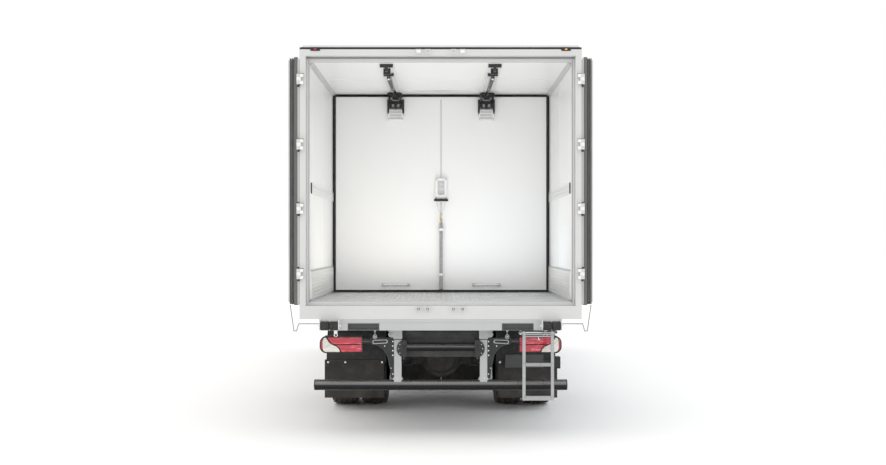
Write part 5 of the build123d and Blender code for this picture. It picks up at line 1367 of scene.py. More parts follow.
def disc_ring(form, x, y, way, place, thick, rings):
    """A wheel disc of rings (offset, radius) with hand holes between its third and fourth ring."""
    holes = 8
    per = 10
    steps = holes * per
    count = len(rings)
    verts = []
    for layer in (0, 1):
        for step in range(steps):
            angle = 2 * math.pi * (step + 0.5) / steps
            for offset, radius in rings:
                verts.append((x + way * (place + offset - layer * thick), y + radius * math.cos(angle),
                              TYRE_R + radius * math.sin(angle)))
    size = steps * count
    faces = []
    open_steps = (3, 4, 5, 6)
    for step in range(steps):
        after = (step + 1) % steps
        for i in range(count - 1):
            if i == 2 and step % per in open_steps:
                continue
            a, b = step * count + i, after * count + i
            faces.append((a, b, b + 1, a + 1))
            faces.append((size + a, size + a + 1, size + b + 1, size + b))
        if step % per in open_steps:
            for i in (2, 3):
                a, b = step * count + i, after * count + i
                faces.append((a, b, size + b, size + a))
        if step % per == open_steps[0] or (step - 1) % per == open_steps[-1]:
            a = step * count
            faces.append((a + 2, a + 3, size + a + 3, size + a + 2))
        for i in (0, count - 1):
            a, b = step * count + i, after * count + i
            faces.append((a, b, size + b, size + a))
    form.add(verts, faces)


def rim_barrel(form, x, y, way):
    """The rim: flanges, bead seats and the drop centre."""
    profile = [(-108, 286), (-108, 300), (-104, 303), (-100, 299), (-99, 285), (-60, 281), (-34, 268),
               (26, 268), (60, 281), (99, 285), (100, 299), (104, 303), (108, 300), (108, 286), (105, 276),
               (62, 271), (28, 260), (-34, 260), (-60, 271), (-105, 276)]
    form.lathe([(way * a, r) for a, r in profile], (x, y, TYRE_R), "x", 80, True)


def front_wheel(side, word):
    x, y = side * 1020, FRONT_AXLE_Y
    form = Form(wheel_paint)
    rim_barrel(form, x, y, side)
    disc_ring(form, x, y, side, 84, 10, [(12, 98), (12, 150), (4, 180), (-14, 232), (-18, 266)])
    form.use(arm_steel)
    form.lathe([(side * 60, 0.01), (side * 60, 100), (side * 118, 96), (side * 130, 70), (side * 134, 62),
                (side * 134, 0.01)], (x, y, TYRE_R), "x", 40)
    form.use(zinc)
    for k in range(10):
        angle = 2 * math.pi * (k + 0.5) / 10
        form.nut((x + side * 96, y + 124 * math.cos(angle), TYRE_R + 124 * math.sin(angle)), "x", side, 17)
    for k in range(6):
        angle = 2 * math.pi * k / 6
        form.bolt((x + side * 131, y + 52 * math.cos(angle), TYRE_R + 52 * math.sin(angle)), "x", side, 7)
    form.use(rubber)
    form.rod((x + side * 86, y, TYRE_R + 240), (x + side * 118, y, TYRE_R + 252), 5, 10)
    form.make(f"front_wheel_{word}", f"wheel_front_{word}", bevel=1.0, segments=1,
              replaces=(f"rim_front_{word}",))
    tyre = Form(tyre_rubber)
    tyre_mesh(tyre, x, y, False)
    tyre.make(f"front_tyre_{word}", f"wheel_front_{word}", bevel=0, angle=28,
              replaces=(f"tyre_front_{word}",))


def rear_wheels(side, word):
    y = REAR_AXLE_Y
    form = Form(wheel_paint)
    inner, outer = side * (916 - 165), side * (916 + 165)
    rim_barrel(form, outer, y, side)
    rim_barrel(form, inner, y, side)
    # The two discs meet at the middle of the pair
    disc_ring(form, side * 916, y, side, 14, 12, [(0, 98), (0, 150), (6, 180), (38, 232), (60, 266)])
    disc_ring(form, side * 916, y, -side, 14, 12, [(0, 98), (0, 150), (6, 180), (38, 232), (60, 266)])
    form.use(arm_steel)
    form.lathe([(side * -40, 0.01), (side * -40, 100), (side * 30, 100), (side * 40, 92), (side * 118, 84),
                (side * 130, 78), (side * 130, 0.01)], (side * 916, y, TYRE_R), "x", 40)
    form.use(zinc)
    for k in range(10):
        angle = 2 * math.pi * (k + 0.5) / 10
        form.nut((side * (916 + 14), y + 124 * math.cos(angle), TYRE_R + 124 * math.sin(angle)), "x", side,
                 17)
        form.bolt((side * (916 + 130), y + 62 * math.cos(angle), TYRE_R + 62 * math.sin(angle)), "x", side,
                  7)
    form.make(f"rear_wheel_{word}", f"wheel_rear_{word}", bevel=1.0, segments=1,
              replaces=(f"rims_rear_{word}",))
    tyre = Form(tyre_rubber)
    for x in (inner, outer):
        tyre_mesh(tyre, x, y, True)
    tyre.make(f"rear_tyres_{word}", f"wheel_rear_{word}", bevel=0, angle=28,
              replaces=(f"tyres_rear_{word}",))


# Chassis

def chassis_details():
    form = Form(chassis_paint)
    # Bolts along the rail webs, and pipes and a cable loom inside them
    for side in (-1, 1):
        for index in range(46):
            y = -4050 + index * 180
            for z in (790, 960):
                form.bolt((side * 425, y, z), "x", side, 9, False, 6)
        form.tube([(side * 405, -4120, 900), (side * 405, -1200, 900), (side * 405, 900, 905),
                   (side * 405, 4200, 905)], 11, 10)
        form.tube([(side * 400, -4120, 868), (side * 400, 4200, 872)], 7, 8)
    form.use(rubber)
    for side in (-1, 1):
        # Air bags with their folds, over the trailing beams
        for y in (REAR_AXLE_Y - 430, REAR_AXLE_Y + 430):
            form.lathe([(-43, 100), (-42, 114), (-30, 124), (-16, 124), (-5, 114), (5, 114), (16, 124),
                        (30, 124), (38, 116), (43, 100)], (side * 380, y, 696), "z", 36)
    form.use(cast_iron)
    for side in (-1, 1):
        for y in (REAR_AXLE_Y - 430, REAR_AXLE_Y + 430):
            form.lathe([(-4, 0.01), (-4, 90), (4, 90), (4, 0.01)], (side * 380, y, 656), "z", 28)
            form.lathe([(-3, 0.01), (-3, 96), (3, 96), (3, 0.01)], (side * 380, y, 737), "z", 28)
        # Dampers
        for y, top, low in ((REAR_AXLE_Y + 210, 930, 560), (FRONT_AXLE_Y + 240, 900, 520)):
            form.rod((side * 470, y, low), (side * 455, y - 40, (low + top) / 2 + 20), 32, 18)
            form.rod((side * 455, y - 40, (low + top) / 2), (side * 440, y - 70, top), 38, 18)
        # Axle clamps
        for dy in (-86, 86):
            form.tube([(side * 335, REAR_AXLE_Y + dy, 655), (side * 335, REAR_AXLE_Y + dy, 440),
                       (side * 425, REAR_AXLE_Y + dy, 440), (side * 425, REAR_AXLE_Y + dy, 655)], 11, 10)
        form.box((side * 325, side * 435), (REAR_AXLE_Y - 100, REAR_AXLE_Y + 100), (434, 452))
        for dy in (-62, 62):
            form.tube([(side * 352, FRONT_AXLE_Y + dy, 560), (side * 352, FRONT_AXLE_Y + dy, 378),
                       (side * 448, FRONT_AXLE_Y + dy, 378), (side * 448, FRONT_AXLE_Y + dy, 560)], 10, 10)
        # Spring leaf clips
        for dy in (-420, 420):
            form.box((side * 352, side * 448), (FRONT_AXLE_Y + dy - 22, FRONT_AXLE_Y + dy + 22), (500, 580))
    # Differential: a wide bowl with an oblong rimmed cover
    bowl = [(236 * math.cos(t) * (1.0 if math.sin(t) < 0 else 1.02),
             560 + (250 if math.sin(t) < 0 else 96) * math.sin(t))
            for t in [2 * math.pi * i / 48 for i in range(48)]]
    small = [(x * 0.74, 560 + (z - 560) * 0.74) for x, z in bowl]
    for outline, near_y, far_y in ((bowl, -100, -70), (small, -168, -100)):
        form.prism(outline, (REAR_AXLE_Y + near_y, REAR_AXLE_Y + far_y), "y")
    oblong = rounded(corners(-226, 226, 556, 662), 40, 6)
    form.use(chassis_paint)
    form.prism(oblong, (REAR_AXLE_Y - 196, REAR_AXLE_Y - 150), "y")
    rim = rounded(corners(-206, 206, 572, 646), 30, 6)
    form.tube([(x, REAR_AXLE_Y - 197, z) for x, z in rim], 6, 8, True)
    form.tube([(x * 0.8, REAR_AXLE_Y - 172, 560 + (z - 560) * 0.8) for x, z in bowl], 7, 8, True)
    for k in range(12):
        angle = 2 * math.pi * k / 12
        form.bolt((math.cos(angle) * 214, REAR_AXLE_Y - 100, 540 + math.sin(angle) * 190), "y", -1, 8,
                  False)
    # Spray curtains hung from a bar ahead of the axle; their dark sheets also stand in for the deep shade
    # under the truck
    form.use(chassis_paint)
    form.rod((-560, -1500, 768), (560, -1500, 768), 14, 16)
    form.use(flap_rubber)
    for side in (-1, 1):
        form.box((side * 4, side * 560), (-1505, -1495), (168, 500))
        form.box((side * 68, side * 560), (-1505, -1495), (500, 770))
        form.box((side * 68, side * 560), (-1510, -1490), (700, 724))
    # Propeller shaft: universal joints and a centre bearing
    for y, z in ((-1740, 552), (2390, 866), (330, 709)):
        form.lathe([(-50, 52), (-44, 76), (-14, 76), (-10, 58), (10, 58), (14, 76), (44, 76), (50, 52)],
                   (0, y, z), "y", 24)
    # Spring brake chambers
    for side in (-1, 1):
        form.lathe([(0, 0.01), (0, 78), (30, 88), (60, 88), (66, 96), (74, 96), (80, 88), (150, 84),
                    (170, 60), (172, 0.01)], (side * 520, REAR_AXLE_Y + 120, 640), "y", 28)
    form.make("chassis_fittings", bevel=0.8, segments=1)

    hoses = Form(rubber)
    for side in (-1, 1):
        hoses.tube([(side * 520, REAR_AXLE_Y + 290, 640), (side * 500, REAR_AXLE_Y + 360, 700),
                    (side * 440, REAR_AXLE_Y + 420, 830), (side * 412, REAR_AXLE_Y + 480, 900)], 9, 10)
        hoses.tube([(side * 700, FRONT_AXLE_Y - 60, 600), (side * 600, FRONT_AXLE_Y - 120, 680),
                    (side * 430, FRONT_AXLE_Y - 200, 860)], 8, 10)
    hoses.make("brake_hoses", bevel=0)


def tank_details():
    form = Form(zinc)
    # Fuel tank: straps, end seams and a filler neck with cap
    for y in (950, 1275, 1600):
        outline = rounded(corners(478, 1132, 428, 1002), 92, 6)
        inner = rounded(corners(482, 1128, 432, 998), 88, 6)
        count = len(outline)
        verts = [(x, a, z) for a in (y - 28, y + 28) for x, z in outline + inner]
        faces = []
        for i in range(count):
            j = (i + 1) % count
            faces += [(i, j, count + j, count + i),
                      (2 * count + j, 2 * count + i, 3 * count + i, 3 * count + j),
                      (i, 2 * count + i, 2 * count + j, j),
                      (count + j, 3 * count + j, 3 * count + i, count + i)]
        form.add(verts, faces)
        form.box((1131, 1137), (y - 20, y + 20), (620, 700))
        form.bolt((1137, y, 682), "x", 1, 9)
        form.rod((1139, y, 625), (1139, y, 700), 6, 10)
    form.use(black_plastic)
    form.lathe([(-6, 52), (10, 56), (38, 56), (46, 48), (46, 0.01)], (1010, 1760, 968), "z", 28)
    form.use(aluminium)
    form.lathe([(-30, 62), (0, 62), (4, 50)], (1010, 1760, 964), "z", 28)
    for y in (700, 1850):
        way = -1 if y == 700 else 1
        form.prism(rounded(corners(492, 1118, 442, 988), 84, 6), (y, y + way * 5), "y")
        form.prism(rounded(corners(560, 1050, 510, 920), 60, 6), (y, y + way * 9), "y")
    form.make("fuel_tank_trim", bevel=1.5)

    air = Form(chassis_paint)
    for y in (-900, -300):
        for at in (y + 90, y + 450):
            air.use(zinc)
            air.lathe([(-14, 121.5), (-14, 124.5), (14, 124.5), (14, 121.5)], (-620, at, 830), "y", 44,
                      True)
            air.bolt((-620, at, 954), "z", 1, 8)
        air.use(chassis_paint)
        for at, way in ((y, -1), (y + 540, 1)):
            air.lathe([(0, 118), (way * 10, 108), (way * 20, 84), (way * 27, 44), (way * 29, 0.01)],
                      (-620, at, 830), "y", 40)
            air.use(bright)
            air.bolt((-620, at + way * 27, 830), "y", way, 14)
            air.use(chassis_paint)
        air.lathe([(0, 10), (-14, 10), (-16, 0.01)], (-620, y + 270, 711), "z", 12)
    air.make("air_tank_trim", bevel=0.8)

    boxes = Form(black_plastic)
    # Battery box lid with ribs and clamps; the small box beside it; the silencer's heat shield
    boxes.prism(rounded([(-1106, 940), (-1106, 986), (-474, 986), (-474, 940)], [4, 26, 26, 4]),
                (1744, 2436), "y")
    for y in range(1790, 2420, 70):
        boxes.box((-1107, -1101), (y - 12, y + 12), (560, 900))
        boxes.box((-1060, -520), (y - 10, y + 10), (984, 989))
    boxes.prism(rounded([(-906, 930), (-906, 966), (-474, 966), (-474, 930)], [4, 22, 22, 4]), (894, 1606),
                "y")
    for y in range(950, 1580, 90):
        boxes.box((-906, -899), (y - 14, y + 14), (600, 900))
    boxes.use(zinc)
    for y in (1900, 2280):
        boxes.box((-1112, -1104), (y - 16, y + 16), (905, 962))
        boxes.rod((-1110, y - 14, 930), (-1110, y + 14, 930), 6, 10)
    boxes.use(rail_metal)
    boxes.prism(rounded([(1134, 500), (1134, 962), (1124, 972), (1124, 492)], 3), (1962, 2418), "y")
    for row in range(9):
        z = 560 + row * 44
        boxes.prism([(1133, z), (1139, z + 4), (1139, z + 14), (1133, z + 18)], (2000, 2380), "y")
    boxes.use(cast_iron)
    boxes.tube([(740, 2400, 560), (735, 2450, 548), (690, 2505, 535), (610, 2540, 525)], [48, 48, 46, 44],
               20)
    boxes.use(zinc)
    for y in (1990, 2390):
        for z in (520, 950):
            boxes.bolt((1134, y, z), "x", 1, 7)
    boxes.make("side_box_trim", bevel=1.2)


def side_guard_details():
    form = Form(aluminium)
    low_y, high_y = -1435, 2515
    for side in (-1, 1):
        x = side * 1235
        for z0, z1 in ((460, 580), (780, 900)):
            # Grooves along the rail, and rounded end caps
            for z in (z0 + 26, (z0 + z1) / 2, z1 - 26):
                form.use(aluminium)
                form.box((x - side * 1, x + side * 2.5), (low_y + 6, high_y - 6), (z - 9, z + 9))
            form.use(black_plastic)
            for y, way in ((low_y, -1), (high_y, 1)):
                cap = rounded(corners(side * 1209, side * 1236.5, z0 - 1, z1 + 1), 5)
                form.prism(cap, (y - way * 14, y + way * 5), "y")
        form.use(zinc)
        for y in (-1250, 150, 2475):
            for z in (500, 540, 820, 860):
                form.bolt((x + side * 2.5, y, z), "x", side, 7)
    # Side marker lamps on the upper rail's line and under the body
    for side in (-1, 1):
        for y in (-2950, -1500, -100, 1300):
            form.use(black_plastic)
            lamp = rounded(corners(y - 56, y + 56, 1040, 1084), 14)
            form.prism(lamp, (side * 1210, side * 1222), "x")
            form.box((side * 1128, side * 1212), (y - 14, y + 14), (1046, 1123))
            form.use(amber_lens)
            lens = rounded(corners(y - 48, y + 48, 1046, 1078), 10)
            form.prism(lens, (side * 1220, side * 1232), "x")
    form.make("side_guard_trim", bevel=1.0)


# Box body outside

def body_outside():
    rails = Form(aluminium)
    # Extruded rails along the lower edge and the roof, and front corner posts
    y0, y1 = REAR_Y + 132, FRONT_Y - 1
    for side in (-1, 1):
        rails.prism([(side * 1297, 1121), (side * 1305, 1121), (side * 1305, 1160), (side * 1303, 1168),
                     (side * 1303, 1216), (side * 1305, 1224), (side * 1305, 1252), (side * 1300, 1262),
                     (side * 1297, 1262)], (y0, y1), "y")
        rails.prism([(side * 1298, 3478), (side * 1304, 3478), (side * 1304, 3560), (side * 1302, 3572),
                     (side * 1304, 3582), (side * 1304, 3594), (side * 1268, 3630), (side * 1180, 3630),
                     (side * 1180, 3624), (side * 1264, 3624), (side * 1298, 3590)], (y0, y1), "y")
        rails.prism([(side * 1302, FRONT_Y + 4), (side * 1236, FRONT_Y + 4), (side * 1236, FRONT_Y - 2),
                     (side * 1297, FRONT_Y - 2), (side * 1297, FRONT_Y - 70), (side * 1304, FRONT_Y - 70),
                     (side * 1304, FRONT_Y - 8)], (1124, 3600), "z")
    rails.prism([(FRONT_Y - 2, 3560), (FRONT_Y + 4, 3560), (FRONT_Y + 4, 3600), (FRONT_Y - 26, 3630),
                 (FRONT_Y - 110, 3630), (FRONT_Y - 110, 3624), (FRONT_Y - 30, 3624), (FRONT_Y - 2, 3596)],
                (-1262, 1262), "x")
    rails.prism([(FRONT_Y - 2, 1121), (FRONT_Y + 5, 1121), (FRONT_Y + 5, 1236), (FRONT_Y - 2, 1242)],
                (-1300, 1300), "x")
    rails.make("body_rails", bevel=0.9)

    marks = Form(zinc)
    # Rivets along the rails and the panel joints
    for side in (-1, 1):
        for index in range(48):
            y = y0 + 60 + index * 148
            for z in (1192, 3530):
                marks.lathe([(0, 5), (side * 1.6, 4.2), (side * 2.4, 0.01)],
                            (side * (1303 if z < 2000 else 1304), y, z), "x", 8)
        for index in range(15):
            z = 1300 + index * 156
            marks.lathe([(0, 5), (side * 1.6, 4.2), (side * 2.4, 0.01)], (side * 1304, FRONT_Y - 40, z), "x",
                        8)
    marks.use(gelcoat)
    for side in (-1, 1):
        for y in (-2400, -950, 500, 1950):
            marks.box((side * 1298, side * 1301.6), (y - 20, y + 20), (1262, 3478))
    for y in (-3000, -1550, -100, 1350):
        marks.box((-1180, 1180), (y - 24, y + 24), (3623, 3628))
    marks.use(rubber)
    for side in (-1, 1):
        for y in (-3900, -3500):
            marks.lathe([(0, 22), (side * 14, 20), (side * 22, 12), (side * 23, 0.01)],
                        (side * 1304, y, 1236), "x", 18)
    # Marker lamps high on the front corners
    for side in (-1, 1):
        marks.use(black_plastic)
        marks.prism(rounded(corners(side * 1130 - 48, side * 1130 + 48, 3500, 3536), 12),
                    (FRONT_Y, FRONT_Y + 14), "y")
        marks.use(milk_lens)
        marks.prism(rounded(corners(side * 1130 - 40, side * 1130 + 40, 3505, 3531), 9),
                    (FRONT_Y + 12, FRONT_Y + 24), "y")
    marks.make("body_rivets_and_lamps", bevel=0.8, segments=1)


def fridge():
    """The cooling unit's skins: grilles, louvres, two guarded fans, latches and a service hatch."""
    y = FRONT_Y + 430
    form = Form(white_plastic)
    # Raised centre panel round the louvres
    form.picture_frame((-600, 600, 3185, 3430), (-528, 528, 3196, 3404), (y - 2, y + 5), "y")
    for row in range(5):
        z = 3200 + row * 44
        form.prism([(y - 26, z + 24), (y + 1, z + 6), (y + 4, z + 6), (y + 4, z + 2), (y - 2, z),
                    (y - 28, z + 20)], (-519, 519), "x")
    form.use(black_plastic)
    form.box((-519, 519), (y - 29.5, y - 28), (3198, 3402))
    for side in (-1, 1):
        for row in range(7):
            z = 3170 + row * 34
            form.prism([(side * 959, z), (side * 965, z + 4), (side * 965, z + 12), (side * 959, z + 16)],
                       (FRONT_Y + 60, FRONT_Y + 280), "y")
    form.use(pale_plastic)
    for side in (-1, 1):
        form.picture_frame((FRONT_Y + 40, FRONT_Y + 300, 3150, 3420),
                           (FRONT_Y + 54, FRONT_Y + 286, 3164, 3406), (side * 959, side * 966), "x")
        form.box((side * 700, side * 704), (y - 4, y + 3), (3175, 3440))
    form.use(zinc)
    for side in (-1, 1):
        for z in (3210, 3400):
            form.prism(rounded(corners(side * 660 - 18, side * 660 + 18, z - 10, z + 10), 6), (y - 1, y + 6),
                       "y")
            form.bolt((side * 660, y + 6, z), "y", 1, 5, False)
    form.use(rubber)
    form.picture_frame((-964, 964, 3046, 3604), (-940, 940, 3070, 3580), (FRONT_Y, FRONT_Y + 12), "y")
    form.make("fridge_skins", bevel=1.2)
    fans = Form(black_plastic)
    # Condenser fans in the sloped top
    for side in (-1, 1):
        for r in (40, 80, 120, 158):
            ring = [(side * 420 + math.cos(2 * math.pi * i / 40) * r,
                     FRONT_Y + 165 + math.sin(2 * math.pi * i / 40) * r * 0.72, 3602) for i in range(40)]
            fans.tube(ring, 2.2, 6, True)
        for k in range(8):
            a = 2 * math.pi * k / 8
            fans.tube([(side * 420, FRONT_Y + 165, 3602),
                       (side * 420 + math.cos(a) * 160, FRONT_Y + 165 + math.sin(a) * 115, 3602)], 2.6, 6)
        fans.lathe([(0, 34), (6, 30), (8, 0.01)], (side * 420, FRONT_Y + 165, 3600), "z", 24)
    fans.use(rubber)
    fans.tube([(300, FRONT_Y + 90, 3056), (300, FRONT_Y + 90, 2950), (310, FRONT_Y + 40, 2860),
               (320, FRONT_Y + 18, 2700), (320, FRONT_Y + 18, 1400), (330, FRONT_Y + 16, 1100)], 13, 12)
    fans.tube([(340, FRONT_Y + 90, 3056), (345, FRONT_Y + 86, 2930), (352, FRONT_Y + 38, 2850),
               (358, FRONT_Y + 17, 2700), (358, FRONT_Y + 17, 1400), (352, FRONT_Y + 16, 1100)], 9, 12)
    fans.use(zinc)
    for z in (1300, 1750, 2200, 2650):
        fans.box((298, 380), (FRONT_Y + 1, FRONT_Y + 34), (z - 10, z + 10))
    fans.make("fridge_fans_and_pipes", bevel=0)


# Cab

SCREEN_LEAN = 170 / (2560 - 1720)


def front_at(z):
    """How far forward the cab's face is at a height over its belt."""
    return CAB_FRONT_Y - 20 - (z - 1720) * SCREEN_LEAN


def cab_skins():
    form = Form(cab_grey)
    # Black surround of the screen, on the raked face
    def on_screen(x, z, out):
        return (x, front_at(z) + out, z)
    outer = rounded([(-1118, 1726), (1118, 1726), (1096, 2552), (-1096, 2552)], 46, 6)
    inner = rounded([(-1040, 1751), (1040, 1751), (1038, 2514), (-1038, 2514)], 40, 6)
    form.use(black_plastic)
    form.band(outer, inner, (-16, 5), lambda out, p: on_screen(p[0], p[1], out))
    # Wiper arms and blades
    for x, reach in ((-760, 560), (-40, 560), (620, 430)):
        foot = on_screen(x, 1700, 26)
        tip = on_screen(x + reach, 1815, 20)
        form.lathe([(0, 20), (14, 20), (22, 12), (22, 0.01)], (foot[0], foot[1] - 24, foot[2]), "y", 20)
        form.tube([foot, on_screen(x + reach * 0.5, 1750, 30), tip], [8, 6, 5], 8)
        form.tube([on_screen(x + 60, 1764, 14), on_screen(x + reach * 0.6, 1800, 16),
                   on_screen(x + reach + 60, 1836, 14)], [5, 7, 5], 8)
    # Scuttle grille under the screen
    form.prism([(CAB_FRONT_Y - 24, 1640), (CAB_FRONT_Y + 4, 1636), (CAB_FRONT_Y - 8, 1716),
                (CAB_FRONT_Y - 26, 1716)], (-1060, 1060), "x")
    for k in range(34):
        x = -1010 + k * 61
        form.box((x, x + 38), (CAB_FRONT_Y - 4, CAB_FRONT_Y + 3), (1652, 1660))
        form.box((x, x + 38), (CAB_FRONT_Y - 5, CAB_FRONT_Y + 1), (1668, 1676))
    form.make("screen_surround", "cab", bevel=2.0)

    paint = Form(cab_paint)
    # Front flap over the grille, with its pressed line, and the roof's spoiler lip
    paint.prism([(CAB_FRONT_Y - 10, 1572), (CAB_FRONT_Y + 7, 1576), (CAB_FRONT_Y + 3, 1630),
                 (CAB_FRONT_Y - 12, 1634)], (-1020, 1020), "x")
    for side in (-1, 1):
        # Corner deflectors
        outline = [(side * 1040, CAB_FRONT_Y + 5), (side * 1090, CAB_FRONT_Y + 3),
                   (side * 1150, CAB_FRONT_Y - 18), (side * 1200, CAB_FRONT_Y - 62),
                   (side * 1221, CAB_FRONT_Y - 118), (side * 1221, CAB_FRONT_Y - 150),
                   (side * 1206, CAB_FRONT_Y - 150), (side * 1192, CAB_FRONT_Y - 84),
                   (side * 1130, CAB_FRONT_Y - 34), (side * 1040, CAB_FRONT_Y - 10)]
        paint.prism(outline, (1090, 1700), "z")
    paint.prism([(4150, 2746), (4180, 2806), (4090, 2824), (3960, 2826), (3300, 2790), (3120, 2752),
                 (3120, 2744)], (-1010, 1010), "x")
    paint.use(cab_grey)
    for side in (-1, 1):
        # Wheel arch lip, and the sill moulding with its ribs
        arch = []
        for a in range(2, 88, 7):
            arch.append((FRONT_AXLE_Y + math.cos(math.radians(a)) * 668,
                         TYRE_R + math.sin(math.radians(a)) * 668))
        inner_arch = [(y - (y - FRONT_AXLE_Y) * 0.045, z - (z - TYRE_R) * 0.045) for y, z in arch]
        paint.prism([p for p in arch if p[1] < 1170] + [p for p in reversed(inner_arch) if p[1] < 1170],
                    (side * 1180, side * 1224), "x")
        paint.box((side * 1200, side * 1223), (2962, 3870), (1182, 1232))
        for z in (1200, 1214):
            paint.box((side * 1222, side * 1225), (2970, 3860), (z - 3, z + 3))
    # Roof hatch and marker lamps
    paint.use(cab_grey)
    paint.prism(rounded(corners(-330, 330, 3200, 3760), 60), (2746, 2776), "z")
    paint.make("cab_mouldings", "cab", bevel=4, segments=3)

    lamps = Form(black_plastic)
    for x in (-900, -300, 300, 900):
        lamps.use(black_plastic)
        lamps.prism(rounded([(x - 70, 4040), (x + 70, 4040), (x + 64, 4140), (x - 64, 4140)], 30),
                    (2744, 2812), "z")
        lamps.use(milk_lens)
        lamps.prism(rounded([(x - 56, 4128), (x + 56, 4128), (x + 50, 4168), (x - 50, 4168)], 16),
                    (2772, 2806), "z")
    for side in (-1, 1):
        lamps.use(amber_lens)
        lamps.prism(rounded(corners(3860, 3960, 1560, 1600), 14), (side * 1222, side * 1232), "x")
    lamps.make("cab_marker_lamps", "cab", bevel=3, segments=3)


def grille_pieces():
    form = Form(black_plastic)
    # Bars with a forward lip, a mesh behind them and a plain centre bar
    low, high, rows = 1090, 1560, 6
    pitch = (high - low - 20) / rows
    for row in range(rows):
        z = low + 20 + row * pitch + pitch - 22
        form.prism([(4462, z), (4500, z - 2), (4512, z + 6), (4512, z + 15), (4500, z + 22), (4462, z + 22)],
                   (-669, 669), "x")
    form.picture_frame((-706, 706, 1084, 1566), (-668, 668, 1110, 1540), (4458, 4516), "y")
    for k in range(27):
        x = -650 + k * 50
        form.box((x - 2, x + 2), (4466, 4474), (1110, 1540))
    form.use(arm_steel)
    for k in range(44):
        z = 1112 + k * 10
        form.box((-668, 668), (4464, 4466), (z, z + 3))
    form.use(bright)
    form.prism([(4510, 1538), (4519, 1540), (4519, 1549), (4510, 1551)], (-660, 660), "x")
    form.make("grille_bars", "cab", bevel=1.6, replaces=("grille",))


def headlamp(side, word):
    """A lens that follows the bumper's corner over two bright bowls and an indicator strip."""
    form = Form(black_plastic)
    x0, x1, z0, z1 = 760.5, 1109.5, 660.5, 839.5

    def face_y(x):
        corner = 1240 - 190
        if x <= corner:
            return BUMPER_Y - 4
        return BUMPER_Y - 190 + math.sqrt(max(0, 186 ** 2 - (x - corner) ** 2))
    steps = [x0 + (x1 - x0) * i / 14 for i in range(15)]
    # Tray
    back = 4486
    plan = [(x, face_y(x) - 14) for x in steps]
    for low, high in ((z0, z0 + 8), (z1 - 8, z1)):
        form.prism([(side * x, y) for x, y in plan] + [(side * x1, back), (side * x0, back)], (low, high),
                   "z")
    form.box((side * x0, side * (x0 + 8)), (back, plan[0][1]), (z0, z1))
    form.box((side * (x1 - 8), side * x1), (back, plan[-1][1]), (z0, z1))
    form.box((side * x0, side * x1), (back, back + 6), (z0, z1))
    form.use(reflector)
    for x, r in ((850, 66), (985, 58)):
        form.lathe([(88, r), (60, r * 0.93), (30, r * 0.7), (12, r * 0.42), (6, 14), (6, 0.01)],
                   (side * x, back, 756), "y", 40)
        form.lathe([(88, r), (92, r + 5), (84, r + 6)], (side * x, back, 756), "y", 40)
    form.use(milk_lens)
    for x in (850, 985):
        form.lathe([(8, 0.01), (10, 24), (40, 28), (58, 20), (64, 0.01)], (side * x, back, 756), "y", 28)
    form.use(amber_lens)
    form.prism([(side * x, face_y(x) - 10) for x in steps]
               + [(side * x, face_y(x) - 30) for x in reversed(steps)], (668, 686), "z")
    form.use(clear_lens)
    outer = [(side * x, face_y(x)) for x in steps]
    inner = [(side * x, face_y(x) - 4) for x in reversed(steps)]
    form.prism(outer + inner, (z0, z1), "z")
    form.make(f"headlamp_{word}", bevel=1.0)


